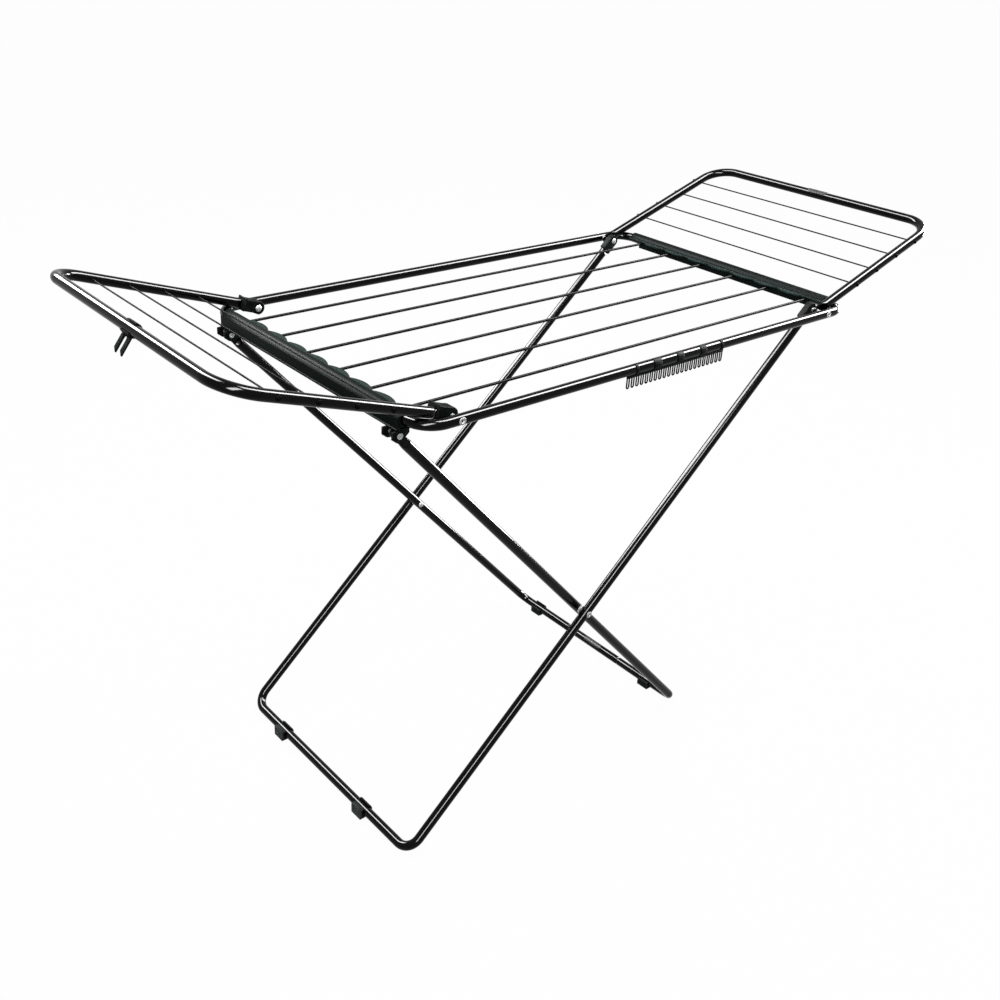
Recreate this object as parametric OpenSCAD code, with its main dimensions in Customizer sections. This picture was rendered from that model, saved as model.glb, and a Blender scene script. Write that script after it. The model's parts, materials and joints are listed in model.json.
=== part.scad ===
// Free-standing folding clothes airer: X legs, a fixed middle rack and two fold-over wings.
// X runs along the rack, Y across it, Z up from the floor; the left wing is at -X.

/* [Tube] */
// Outer diameter of every bent tube
tube_d = 16; // [14:0.5:18]
// Wall thickness of the tubes
tube_wall = 1; // [0.8:0.1:1.6]
// Thickness of a flattened tube end
flat_t = 3; // [2.4:0.1:3.4]
// Width of a flattened tube end
flat_w = 18; // [16:0.5:19]

/* [Rack] */
// Height of the rack's tube centres above the floor
rack_z = 778; // [740:1:820]
// Distance between the two end tubes, centre to centre
rack_l = 914; // [890:1:940]
// Distance between the two side tubes, centre to centre
rack_w = 545; // [543:1:552]
// Centreline radius of the rack's bent corners
rack_r = 38; // [34:1:40]
// Distance between the two wing pivots along the rack
pivot_l = 800; // [790:1:806]
// Height of the wing pivots above the rack's tube centres
pivot_lift = 1; // [0:0.1:1.4]
// Length of the sleeves inside the end tubes
sleeve_l = 70; // [40:1:100]

/* [Drying rods] */
// Number of drying rods
rod_n = 6; // [4:1:8]
// Distance between neighbouring rods
rod_pitch = 80; // [70:1:82]
// Diameter of a drying rod
rod_d = 4.5; // [3.5:0.1:5]
// Height of the rods from the rack's tube centres
rod_lift = -2; // [-3:0.1:0]

/* [End strips] */
// Distance from a strip's end to the start of the rack's corner
strip_end_gap = 0.5; // [0.3:0.1:3]
// Number of scallops along a strip
scallop_n = 7; // [5:1:7]
// Distance between neighbouring scallops
scallop_pitch = 55; // [48:0.5:58]
// How far a scallop bulges inboard
scallop_h = 8; // [6:0.5:10]
// Thickness of the scalloped tongue
tongue_t = 3; // [2:0.1:4]

/* [Wings] */
// Distance from a side tube's centre in to a wing arm's centre
wing_inset = 16.5; // [16.3:0.1:18]
// Distance from the wing pivot to the centre of its outer bar
wing_l = 340; // [320:1:350]
// Centreline radius of the wing's corners
wing_r = 50; // [40:1:60]
// Diameter of the wing lines
line_d = 2.5; // [2:0.1:3]
// Distance from the pivot to the first line
line_first = 103; // [100:1:110]
// Distance between neighbouring lines
line_pitch = 57; // [50:1:58]
// Number of lines in each wing
line_n = 4; // [2:1:4]
// Diameter of a line's stop knob
stop_d = 7; // [5:0.5:8]
// Height of a stop knob above the tube
stop_h = 4.4; // [3:0.1:5]
// Length of a wing's flattened end beyond the pivot rivet
wing_flat_l = 12; // [10:1:14]
// How far the left wing's arm ends are bent inwards
joggle = 7; // [5:0.5:8]
// Length of the left arms' taper from the flat to the round tube
joggle_l = 28; // [24:1:32]

/* [Legs] */
// Distance from a wing arm's centre in to the outer leg's centre
outer_inset = 15; // [14.8:0.1:16]
// Gap between the two leg frames where they cross
leg_gap = 3.5; // [3:0.1:5]
// Distance of the outer leg's floor bar from the middle of the rack
outer_bar_x = 440; // [420:1:450]
// Distance of the inner leg's floor bar from the middle of the rack
inner_bar_x = 213; // [200:1:230]
// Height of the floor bars' centres
bar_z = 12; // [11:0.5:14]
// Centreline radius of the legs' corners
leg_r = 28; // [26:1:36]
// Drop of the clip pin below the rack's tube centres
pin_drop = 22; // [21:0.5:24]
// Distance of the clip pin outboard of the end tube's centre
pin_out = 9; // [7:0.5:10]

/* [Rivets and pins] */
// Diameter of the rivets' shanks
rivet_d = 6; // [5:0.1:7]
// Diameter of the rivets' round heads
rivet_head_d = 11; // [10:0.5:13]
// Height of a rivet's domed head
rivet_head_h = 2.6; // [2:0.1:3.4]
// Diameter of the hollow in a rivet's rolled outer head
rivet_hollow_d = 4; // [3:0.1:4.4]

/* [Plastic parts] */
// Wall thickness of the moulded clips, caps and feet
wall = 3; // [2.5:0.1:3.2]
// Length of a clip-on foot along its bar
foot_l = 26; // [20:1:34]
// Position of the outer bar's near foot from the middle
outer_foot_near = 110; // [90:1:180]
// Position of the outer bar's far foot from the middle
outer_foot_far = 140; // [90:1:180]
// Position of the inner bar's near foot from the middle
inner_foot_near = 150; // [130:1:175]
// Position of the inner bar's far foot from the middle
inner_foot_far = 170; // [130:1:175]
// Length of the plastic cap on the outer leg's end
cap_l = 26; // [22:1:28]
// Thickness of the plastic cap on the outer leg's end
cap_t = 12; // [10:0.5:12.6]
// Number of teeth on the sock comb
tooth_n = 22; // [12:1:22]
// Distance between neighbouring teeth
tooth_pitch = 10; // [8:0.5:10]
// Length of a comb tooth
tooth_l = 17; // [8:1:20]
// Position of the comb's first tooth
comb_x = -80; // [-120:1:-70]
// Length of the fork clip's prongs
prong_l = 36; // [20:1:40]
// Position of the fork clip across the wing's outer bar
fork_y = -20; // [-24:1:-16]

/* [Clearances] */
// Radial clearance of a pin in its bore
pin_gap = 0.05; // [0.03:0.01:0.1]
// Gap between a tube and a part that is clipped onto it
seat_gap = 0.05; // [0.03:0.01:0.15]
// Gap between parts that rest on or pass each other
rest_gap = 0.3; // [0.2:0.05:0.5]

/* [Hidden] */
$fn = 48;

// Tube radii and places that several parts share
tube_r = tube_d / 2;
bore_r = tube_r - tube_wall;
end_x = rack_l / 2;
side_y = rack_w / 2;
pivot_x = pivot_l / 2;
wing_y = side_y - wing_inset;
outer_y = wing_y - outer_inset;
inner_y = outer_y - tube_d - leg_gap;
pivot_z = rack_z + pivot_lift;
strip_l = 2 * (side_y - rack_r - strip_end_gap);
rivet_r = rivet_d / 2;
rivet_bore_r = rivet_r + pin_gap;
rod_z = rack_z + rod_lift;
rod_r = rod_d / 2;
line_r = line_d / 2;
clip_r = tube_r + seat_gap;

// Where a wing arm is round again: straight arms at the right, joggled arms at the left
wing_round = wing_flat_l + 12;
joggle_end = wing_flat_l + joggle_l;

// Wing angle: the smallest rise at which an arm clears the bent corner of the rack
function arm_y(u, jog) = wing_y - jog * min(max((joggle_end - u) / joggle_l, 0), 1);
function corner_offset(x, y) =
    norm([max(x - (end_x - rack_r), 0), y - (side_y - rack_r)]) - rack_r;
function arm_gap(a) = min([for (u = [30 : 0.5 : 90], jog = [0, joggle])
    norm([corner_offset(pivot_x + u * cos(a), arm_y(u, jog)), pivot_lift + u * sin(a)])]);
wing_rise = [for (a = [8 : 0.1 : 40]) if (arm_gap(a) >= tube_d + rest_gap) a][0];

// Leg geometry in the XZ plane
pin_x = -(end_x + pin_out);
pin_z = rack_z - pin_drop;
outer_run = [-outer_bar_x - pivot_x, bar_z - pivot_z];
outer_len = norm(outer_run);
outer_dir = outer_run / outer_len;
inner_run = [inner_bar_x - pin_x, bar_z - pin_z];
inner_len = norm(inner_run);
inner_dir = inner_run / inner_len;
// Distance along the outer leg from its pivot to where the two leg frames cross
cross_det = outer_dir.x * inner_dir.y - outer_dir.y * inner_dir.x;
cross_outer = ((pin_x - pivot_x) * inner_dir.y - (pin_z - pivot_z) * inner_dir.x) / cross_det;
cross_x = pivot_x + cross_outer * outer_dir.x;
cross_z = pivot_z + cross_outer * outer_dir.y;
cross_inner = norm([cross_x - pin_x, cross_z - pin_z]);

// Layers across the rack beside the pivots
hinge_mid = wing_y - joggle;
hinge_y0 = hinge_mid - tube_r - 1.5;
hinge_w = tube_d + 3;
head_seat_left = hinge_y0 - pin_gap;
head_seat_right = outer_y - cap_t / 2 - rest_gap;

module at_both_sides() {
    children();
    mirror([0, 1, 0]) children();
}

// Hollow straight tube along +Z from the origin
module straight(l) {
    linear_extrude(l) difference() {
        circle(tube_r);
        circle(bore_r);
    }
}

// Solid bar along Y between two heights y0 and y1
module cross_bar(r, y0, y1) {
    translate([0, y0, 0]) rotate([-90, 0, 0]) cylinder(r = r, h = y1 - y0);
}

// Bend through angle a: starts at the origin along +X and turns towards +Y
module bend(r, a) {
    translate([0, r, 0]) rotate([0, 0, -90]) rotate_extrude(angle = a)
        translate([r, 0]) difference() {
            circle(tube_r);
            circle(bore_r);
        }
}

// Half of a bent frame: bar along X from the origin, one corner, then an arm along +Y
module bent_half(bar, arm, r) {
    rotate([0, 90, 0]) straight(bar - r);
    translate([bar - r, 0, 0]) bend(r, 90);
    translate([bar, r, 0]) rotate([-90, 0, 0]) straight(arm - r);
}

// Full bent U: bar along X centred on the origin, both arms along +Y
module bent_u(half_bar, arm, r) {
    translate([-(half_bar - r), 0, 0]) rotate([0, 90, 0]) straight(2 * (half_bar - r));
    for (s = [0, 1]) mirror([s, 0, 0]) {
        translate([half_bar - r, 0, 0]) bend(r, 90);
        translate([half_bar, r, 0]) rotate([-90, 0, 0]) straight(arm - r);
    }
}

// Flattened tube end: tube axis along +Y into the tube from the origin, flat at x = offset
module flat_end(l_flat, l_taper, w, offset, tip) {
    translate([offset - flat_t / 2, 0, 0]) rotate([0, 90, 0]) cylinder(r = tip, h = flat_t);
    translate([offset - flat_t / 2, 0, -tip]) cube([flat_t, l_flat, 2 * tip]);
    hull() {
        translate([offset - flat_t / 2, l_flat - 0.4, -w / 2]) cube([flat_t, 0.2, w]);
        translate([0, l_flat + l_taper, 0]) rotate([-90, 0, 0])
            cylinder(r = tube_r - tube_wall / 2, h = 4, $fn = 32);
    }
}

// Places children given in leg coordinates (+Y along the leg from its top) at the outer leg
module on_outer() {
    translate([pivot_x, 0, pivot_z]) rotate([0, atan2(-outer_dir.y, outer_dir.x), 0])
        mirror([0, 1, 0]) rotate([0, 0, -90]) children();
}

module on_inner() {
    translate([pin_x, 0, pin_z]) rotate([0, atan2(-inner_dir.y, inner_dir.x), 0])
        mirror([0, 1, 0]) rotate([0, 0, -90]) children();
}

// Places children given in wing coordinates (+X from the pivot outward) on a wing
module on_wing(side) {
    translate([side * pivot_x, 0, pivot_z]) mirror([side < 0 ? 1 : 0, 0, 0])
        rotate([0, -wing_rise, 0]) children();
}

// ---- Rack ----
module frame_half() {
    difference() {
        translate([0, -side_y, rack_z]) bent_u(end_x, side_y, rack_r);
        for (x = [-pivot_x, pivot_x]) translate([x, 0, pivot_z])
            cross_bar(rivet_bore_r, -side_y - tube_d, -side_y + tube_d);
    }
}

module frame_tube_near() {
    color("#101012") frame_half();
}

module frame_tube_far() {
    color("#101012") mirror([0, 1, 0]) frame_half();
}

module frame_sleeves() {
    color("#3a3a3c") for (x = [-end_x, end_x]) translate([x, 0, rack_z]) difference() {
        cross_bar(bore_r - seat_gap, -sleeve_l / 2, sleeve_l / 2);
        cross_bar(bore_r - seat_gap - tube_wall, -sleeve_l / 2 - 1, sleeve_l / 2 + 1);
    }
}

// Strip cross-section: X outboard from the end tube's centre, Y up
strip_top = tube_r + wall;
strip_in = -tube_r - 5;
tongue_z = rod_lift + rod_r + 0.4;
strip_skirt = tube_r + 2.5;
strip_bottom = -(tube_r + 5.5);
module strip_cover_profile() {
    difference() {
        polygon([
            [strip_in, 0], [strip_in, tongue_z], [-tube_r, strip_top - 1.5], [-tube_r + 4, strip_top],
            [tube_r - 3, strip_top], [strip_skirt, strip_top - 2.5], [strip_skirt + wall, 4],
            [strip_skirt + wall, strip_bottom + 2.5], [strip_skirt + wall + 2, strip_bottom + 1.5],
            [strip_skirt + wall + 2, strip_bottom], [strip_skirt, strip_bottom], [strip_skirt, 0]
        ]);
        circle(clip_r);
    }
}

module strip_body_profile() {
    difference() {
        translate([strip_in, -12]) square([tube_r, 12.5 + tongue_z]);
        circle(clip_r);
    }
}

module strip_extrude(l) {
    translate([0, l / 2, 0]) rotate([90, 0, 0]) linear_extrude(l) children();
}

scallop_r = (pow(scallop_pitch / 2, 2) + pow(scallop_h, 2)) / (2 * scallop_h);
rod_end = end_x - sqrt(pow(clip_r, 2) - pow(rod_lift, 2)) - 0.8;
module end_strip() {
    difference() {
        union() {
            strip_extrude(strip_l) strip_cover_profile();
            strip_extrude(2 * (clip_y0 - 1.9)) strip_body_profile();
            translate([0, 0, tongue_z]) linear_extrude(tongue_t) {
                translate([strip_in - 2, -strip_l / 2]) square([8, strip_l]);
                intersection() {
                    translate([strip_in - 2 - scallop_h, -side_y]) square([scallop_h + 4, rack_w]);
                    for (i = [0 : scallop_n - 1])
                        translate([strip_in - 2 - scallop_h + scallop_r,
                                   (i - (scallop_n - 1) / 2) * scallop_pitch])
                            circle(scallop_r, $fn = 96);
                }
            }
        }
        for (i = [0 : rod_n - 1])
            translate([rod_end - end_x, rod_y(i), rod_lift]) rotate([0, -90, 0])
                cylinder(r = rod_r + pin_gap, h = 30);
        strip_extrude(rack_w - 2 * rack_r) circle(clip_r);
    }
}

function rod_y(i) = (i - (rod_n - 1) / 2) * rod_pitch;

module left_end_strip() {
    color("#262b29") translate([-end_x, 0, rack_z]) mirror([1, 0, 0]) end_strip();
}

module right_end_strip() {
    color("#262b29") translate([end_x, 0, rack_z]) end_strip();
}

module drying_rod(i) {
    if (i < rod_n) color("#141415") translate([-rod_end, rod_y(i), rod_z]) rotate([0, 90, 0])
        cylinder(r = rod_r, h = 2 * rod_end);
}

// ---- Wings ----
// Wing tube in wing coordinates: +X outward from the pivot, arm ends shifted inwards by jog
module wing_tube(jog) {
    start = jog > 0 ? joggle_end : wing_round;
    difference() {
        union() {
            rotate([0, 0, 90]) translate([0, -wing_l, 0]) bent_u(wing_y, wing_l - start, wing_r);
            at_both_sides() translate([0, wing_y, 0]) rotate([0, 0, -90]) {
                flat_end(wing_flat_l, start - wing_flat_l, flat_w, jog, flat_w / 2);
            }
        }
        at_both_sides() cross_bar(rivet_bore_r, wing_y - joggle - flat_t, wing_y + flat_t);
        for (i = [0 : line_n - 1]) translate([line_first + i * line_pitch, 0, 0])
            cross_bar(line_r + pin_gap, -rack_w, rack_w);
    }
}

module left_wing_tube() {
    color("#101012") on_wing(-1) wing_tube(joggle);
}

module right_wing_tube() {
    color("#101012") on_wing(1) wing_tube(0);
}

line_end = wing_y + tube_r + stop_h - 1.6;
module wing_line(side, i) {
    if (i < line_n) color("#1c1c1e") on_wing(side) translate([line_first + i * line_pitch, 0, 0])
        cross_bar(line_r, -line_end, line_end);
}

module wing_stops(side) {
    color("#1c1c1e") on_wing(side) at_both_sides() for (i = [0 : line_n - 1])
        translate([line_first + i * line_pitch, 0, 0]) difference() {
            cross_bar(stop_d / 2, wing_y + tube_r + seat_gap, wing_y + tube_r + stop_h);
            cross_bar(line_r + pin_gap, wing_y, line_end + 0.1);
        }
}

// Plastic cap round the left wing's end, in wing coordinates at the far side
hinge_l = 28;
hinge_slot = flat_t + 2 * seat_gap;
module wing_hinge() {
    color("#262b29") on_wing(-1) difference() {
        union() {
            cross_bar(flat_w / 2 + 2, hinge_y0, hinge_y0 + hinge_w);
            translate([0, hinge_y0, -flat_w / 2]) cube([hinge_l, hinge_w, flat_w + 1.6]);
            translate([hinge_l - wall, hinge_y0 - 2, -flat_w / 2])
                cube([wall, hinge_w + 4, flat_w + 3.5]);
        }
        translate([-hinge_l, hinge_mid - hinge_slot / 2, -flat_w])
            cube([hinge_l + wing_flat_l, hinge_slot, 2 * flat_w]);
        hull() {
            translate([wing_flat_l - 1, hinge_mid - hinge_slot / 2, -flat_w / 2 - seat_gap])
                cube([0.4, hinge_slot, flat_w + 2 * seat_gap]);
            translate([joggle_end, wing_y, 0]) rotate([0, 90, 0])
                cylinder(r = clip_r, h = 1, $fn = 32);
        }
        cross_bar(rivet_bore_r, 0, rack_w);
    }
}

module left_wing_hinge_near() {
    mirror([0, 1, 0]) wing_hinge();
}

module left_wing_hinge_far() {
    wing_hinge();
}

// Rivet along Y: shank from the domed inner head to the rolled outer head
module rivet(y0, y1) {
    difference() {
        union() {
            cross_bar(rivet_r, y0 - 0.5, y1 + 0.5);
            cross_bar(rivet_head_d / 2, y1 + seat_gap, y1 + 1.6);
            translate([0, y0, 0]) intersection() {
                translate([0, rivet_head_d, 0]) sphere(r = rivet_head_d + rivet_head_h, $fn = 64);
                cross_bar(rivet_head_d / 2, -rivet_head_h - 1, 0);
            }
        }
        cross_bar(rivet_hollow_d / 2, y1 - 3, y1 + 5);
    }
}

module left_wing_rivets() {
    color("silver") at_both_sides() translate([-pivot_x, 0, pivot_z])
        rivet(head_seat_left, side_y + tube_r);
}

module right_wing_rivets() {
    color("silver") at_both_sides() translate([pivot_x, 0, pivot_z])
        rivet(head_seat_right, side_y + tube_r);
}

// Thin oval badge curved over the top of a bar that runs along Y through the origin
module oval_badge(l) {
    intersection() {
        difference() {
            cross_bar(tube_r + badge_t, -l / 2, l / 2);
            cross_bar(clip_r, -l, l);
        }
        linear_extrude(tube_d) union() {
            translate([-badge_w / 2, -l / 2 + badge_w / 2]) square([badge_w, l - badge_w]);
            for (s = [-1, 1]) translate([0, s * (l - badge_w) / 2]) circle(badge_w / 2);
        }
    }
}

badge_w = 10;
badge_t = 1;
badge_l = 46;
module wing_badge() {
    color("#26282a") on_wing(1) translate([wing_l, 0, 0]) oval_badge(badge_l);
}

// Clip with two flat prongs on the left wing's outer bar
fork_gap = 9;
fork_w = 8;
fork_t = 3;
fork_r = clip_r + 2;
fork_top = -tube_r + 2;
module fork_clip() {
    color("#2b302e") on_wing(-1) translate([wing_l, fork_y, 0]) difference() {
        union() {
            cross_bar(fork_r, -fork_gap / 2 - fork_w, fork_gap / 2 + fork_w);
            for (s = [-1, 1]) translate([-fork_t / 2, s * (fork_gap + fork_w) / 2, -prong_l])
                translate([0, -fork_w / 2, 0]) cube([fork_t, fork_w, prong_l + fork_top]);
            translate([-fork_t / 2, -fork_gap / 2 - 1, -fork_r - 4])
                cube([fork_t, fork_gap + 2, fork_r + 4 + fork_top]);
        }
        cross_bar(clip_r, -30, 30);
        translate([2.5, -30, -tube_r / 2]) cube([tube_d, 60, tube_d]);
    }
}

// ---- Leg frames ----
leg_flat_l = 22;
leg_round = leg_flat_l + 12;
module outer_leg_tube() {
    color("#101012") difference() {
        union() {
            on_outer() translate([0, outer_len, 0]) rotate([0, 0, 180])
                bent_u(outer_y, outer_len - leg_round, leg_r);
            at_both_sides() on_outer() translate([outer_y, 0, 0])
                flat_end(leg_flat_l, leg_round - leg_flat_l, flat_w - 2, 0, flat_w / 2 - 1);
        }
        translate([pivot_x, 0, pivot_z]) cross_bar(rivet_bore_r, -rack_w, rack_w);
        translate([cross_x, 0, cross_z]) cross_bar(rivet_bore_r, -rack_w, rack_w);
    }
}

// Cap over the outer leg's flattened end, on the far side
module outer_leg_cap() {
    color("#262b29") on_outer() difference() {
        union() {
            translate([outer_y - cap_t / 2, 0, 0]) rotate([0, 90, 0])
                cylinder(r = flat_w / 2 + 2, h = cap_t);
            translate([outer_y - cap_t / 2, 0, -flat_w / 2 - 2])
                cube([cap_t, cap_l, flat_w + 4]);
        }
        translate([outer_y, -flat_w / 2 - 0.5, 0]) cube_slot();
        rotate([0, 90, 0]) cylinder(r = rivet_bore_r, h = rack_w);
    }
}

// Slot inside the cap for the flattened end, with a wider mouth for the taper
module cube_slot() {
    translate([-flat_t / 2 - seat_gap, 0, -flat_w / 2 + 0.8])
        cube([flat_t + 2 * seat_gap, 60, flat_w - 1.6]);
    translate([-cap_t / 2 + 1.5, flat_w / 2 + leg_flat_l - 1, -flat_w / 2 + 0.4])
        cube([cap_t - 3, 20, flat_w - 0.8]);
}

module outer_leg_cap_near() {
    mirror([0, 1, 0]) outer_leg_cap();
}

module outer_leg_cap_far() {
    outer_leg_cap();
}

// One half of the inner leg frame, far side: hooked tip, arm, corner and half bar
hook_r = 7;
hook_flat_l = 18;
hook_round = hook_flat_l + 12;
hook_gap = 0.3;
module inner_half() {
    difference() {
        union() {
            on_inner() translate([0, inner_len, 0]) rotate([0, 0, 180]) mirror([1, 0, 0])
                bent_half(inner_y, inner_len - hook_round, leg_r);
            on_inner() translate([inner_y, 0, 0])
                flat_end(hook_flat_l, hook_round - hook_flat_l, flat_w - 2, 0, hook_r);
        }
        translate([cross_x, 0, cross_z]) cross_bar(rivet_bore_r, 0, rack_w);
        translate([pin_x, 0, pin_z]) {
            cross_bar(rivet_r + hook_gap, 0, rack_w);
            translate([0, inner_y - 10, -rivet_r - hook_gap]) cube([30, 20, rivet_d + 2 * hook_gap]);
        }
    }
}

module inner_leg_tube_near() {
    color("#101012") mirror([0, 1, 0]) inner_half();
}

module inner_leg_tube_far() {
    color("#101012") inner_half();
}

inner_sleeve_l = 170;
module inner_leg_sleeve() {
    color("#3a3a3c") translate([inner_bar_x, 0, bar_z]) difference() {
        cross_bar(bore_r - seat_gap, -inner_sleeve_l / 2, inner_sleeve_l / 2);
        cross_bar(bore_r - seat_gap - tube_wall, -inner_sleeve_l, inner_sleeve_l);
    }
}

module inner_leg_badge() {
    color("#26282a") translate([inner_bar_x, 0, bar_z]) rotate([0, -30, 0]) oval_badge(badge_l);
}

module leg_rivets() {
    color("silver") at_both_sides() translate([cross_x, 0, cross_z])
        rivet(inner_y - tube_r - 0.1, outer_y + tube_r);
}

module leg_spacers() {
    color("white") at_both_sides() translate([cross_x, 0, cross_z]) difference() {
        cross_bar(tube_r - 0.5, inner_y + tube_r + 0.1, outer_y - tube_r - 0.1);
        cross_bar(rivet_bore_r, 0, rack_w);
    }
}

// ---- Leg clips: saddle under the end tube and two cheeks that hold the pin ----
clip_y0 = inner_y - tube_r - 4.6;
clip_w = tube_d + 9.2;
clip_gap = tube_d + 2.6;
cheek_r = 10;
saddle_top = -rest_gap;
saddle_z = -(tube_r + 5.2);
module clip_profile() {
    difference() {
        union() {
            intersection() {
                circle(tube_r + 2.2);
                translate([-20, -20]) square([40, 20 + saddle_top]);
            }
            translate([-tube_r + 1, saddle_z]) square([2 * tube_r + 1, -saddle_z - tube_r + 3]);
        }
        circle(clip_r);
    }
}

module cheek_profile() {
    difference() {
        union() {
            translate([pin_out, -pin_drop]) circle(cheek_r);
            translate([pin_out, -pin_drop - 4]) square([cheek_r + 2, pin_drop + 4 + saddle_z + 1]);
            translate([-tube_r + 1, -pin_drop - 2])
                square([pin_out + tube_r, pin_drop + 2 + saddle_z + 1]);
            translate([-tube_r + 1, saddle_z]) square([2 * tube_r, tube_r - 4]);
        }
        circle(clip_r);
        translate([pin_out, -pin_drop]) circle(rivet_bore_r);
        translate([strip_skirt - rest_gap, strip_bottom - rest_gap]) square([30, 30]);
    }
}

module leg_clip() {
    color("#262b29") translate([-end_x, 0, rack_z]) mirror([1, 0, 0]) {
        translate([0, clip_y0 + clip_w, 0]) rotate([90, 0, 0]) linear_extrude(clip_w) clip_profile();
        for (y = [clip_y0 + clip_w, clip_y0 + (clip_w - clip_gap) / 2])
            translate([0, y, 0]) rotate([90, 0, 0])
                linear_extrude((clip_w - clip_gap) / 2) cheek_profile();
    }
}

module leg_clip_near() {
    mirror([0, 1, 0]) leg_clip();
}

module leg_clip_far() {
    leg_clip();
}

module leg_clip_pins() {
    color("silver") at_both_sides() translate([pin_x, 0, pin_z]) {
        cross_bar(rivet_r, clip_y0 - 0.8, clip_y0 + clip_w + 0.8);
        cross_bar(rivet_head_d / 2 - 1, clip_y0 + clip_w + seat_gap, clip_y0 + clip_w + 1.4);
        cross_bar(rivet_head_d / 2 - 1, clip_y0 - 1.4, clip_y0 - seat_gap);
    }
}

// ---- Feet, at the middle of the bar through the origin ----
foot_w = tube_d + 2 * wall;
foot_lip = 3;
module foot() {
    difference() {
        union() {
            cross_bar(tube_r + wall, -foot_l / 2, foot_l / 2);
            translate([-foot_w / 2, -foot_l / 2, -bar_z]) cube([foot_w, foot_l, bar_z + foot_lip]);
        }
        cross_bar(clip_r, -foot_l, foot_l);
        translate([-foot_w, -foot_l, foot_lip]) cube([foot_w + tube_r / 2, 2 * foot_l, foot_w]);
    }
}

module outer_foot(side) {
    y = side < 0 ? -outer_foot_near : outer_foot_far;
    color("#262b29") translate([-outer_bar_x, y, bar_z]) foot();
}

module inner_foot(side) {
    y = side < 0 ? -inner_foot_near : inner_foot_far;
    color("#262b29") translate([inner_bar_x, y, bar_z]) foot();
}

// ---- Sock comb clipped under the near side tube ----
comb_l = (tooth_n - 1) * tooth_pitch;
spine_h = 5;
spine_t = 3;
band_t = 1.3;
band_x = [0.05, 0.26, 0.5, 0.75, 0.96];
band_w = [5, 16, 14, 13, 5];
spine_top = -clip_r - 0.4;
module comb_band(w) {
    difference() {
        rotate([0, 90, 0]) cylinder(r = clip_r + band_t, h = w, center = true);
        rotate([0, 90, 0]) cylinder(r = clip_r, h = w + 2, center = true);
        translate([-w, 0, -tube_r / 2]) cube([2 * w, tube_d, tube_r]);
    }
}

module sock_comb() {
    color("#2b302e") translate([comb_x, -side_y, rack_z]) {
        translate([-2, -spine_t / 2, spine_top - spine_h]) cube([comb_l + 4, spine_t, spine_h]);
        for (i = [0 : tooth_n - 1]) translate([i * tooth_pitch, 0, spine_top - spine_h + 0.5])
            rotate([90, 0, 0]) linear_extrude(spine_t, center = true)
                polygon([[-2, 0], [2, 0], [1.2, -tooth_l], [-1.2, -tooth_l]]);
        for (i = [0 : len(band_x) - 1]) translate([band_x[i] * comb_l, 0, 0])
            comb_band(band_w[i]);
    }
}

frame_tube_near();
frame_tube_far();
frame_sleeves();
left_end_strip();
right_end_strip();
drying_rod(0);  // drying_rod_1
drying_rod(1);  // drying_rod_2
drying_rod(2);  // drying_rod_3
drying_rod(3);  // drying_rod_4
drying_rod(4);  // drying_rod_5
drying_rod(5);  // drying_rod_6
left_wing_tube();
right_wing_tube();
wing_line(-1, 0);  // left_wing_line_1
wing_line(-1, 1);  // left_wing_line_2
wing_line(-1, 2);  // left_wing_line_3
wing_line(-1, 3);  // left_wing_line_4
wing_line(1, 0);  // right_wing_line_1
wing_line(1, 1);  // right_wing_line_2
wing_line(1, 2);  // right_wing_line_3
wing_line(1, 3);  // right_wing_line_4
wing_stops(-1);  // left_wing_stops
wing_stops(1);  // right_wing_stops
left_wing_hinge_near();
left_wing_hinge_far();
left_wing_rivets();
right_wing_rivets();
wing_badge();
fork_clip();
outer_leg_tube();
outer_leg_cap_near();
outer_leg_cap_far();
inner_leg_tube_near();
inner_leg_tube_far();
inner_leg_sleeve();
inner_leg_badge();
leg_rivets();
leg_spacers();
leg_clip_near();
leg_clip_far();
leg_clip_pins();
outer_foot(-1);  // outer_foot_near
outer_foot(1);  // outer_foot_far
inner_foot(-1);  // inner_foot_near
inner_foot(1);  // inner_foot_far
sock_comb();
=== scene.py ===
"""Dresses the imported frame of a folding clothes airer: tubes, plastics, fasteners and studio."""

import json
import logging
import math
from dataclasses import dataclass
from enum import Enum
from typing import Iterable

import bmesh
import bpy
from mathutils import Euler, Matrix, Vector

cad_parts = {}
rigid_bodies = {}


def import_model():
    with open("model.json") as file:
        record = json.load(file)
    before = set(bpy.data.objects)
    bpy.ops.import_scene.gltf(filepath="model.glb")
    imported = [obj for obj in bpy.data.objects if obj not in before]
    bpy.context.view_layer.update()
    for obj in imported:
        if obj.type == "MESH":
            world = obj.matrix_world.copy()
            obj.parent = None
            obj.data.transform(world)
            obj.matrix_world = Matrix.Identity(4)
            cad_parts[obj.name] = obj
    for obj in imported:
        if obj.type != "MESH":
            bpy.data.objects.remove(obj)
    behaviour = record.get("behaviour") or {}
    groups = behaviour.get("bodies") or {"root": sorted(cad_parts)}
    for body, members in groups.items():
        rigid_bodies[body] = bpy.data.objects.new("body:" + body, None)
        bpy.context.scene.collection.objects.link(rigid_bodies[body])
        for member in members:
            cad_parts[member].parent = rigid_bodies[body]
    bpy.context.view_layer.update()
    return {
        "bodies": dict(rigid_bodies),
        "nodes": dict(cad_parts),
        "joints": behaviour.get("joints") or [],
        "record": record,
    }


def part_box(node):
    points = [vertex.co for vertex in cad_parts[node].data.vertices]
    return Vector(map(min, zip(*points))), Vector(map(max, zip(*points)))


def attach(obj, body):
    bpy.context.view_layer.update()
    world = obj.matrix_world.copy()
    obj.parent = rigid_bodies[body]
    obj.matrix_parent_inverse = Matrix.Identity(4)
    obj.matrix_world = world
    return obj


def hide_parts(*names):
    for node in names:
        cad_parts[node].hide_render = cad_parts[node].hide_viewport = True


LOG = logging.getLogger("airer")
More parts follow.
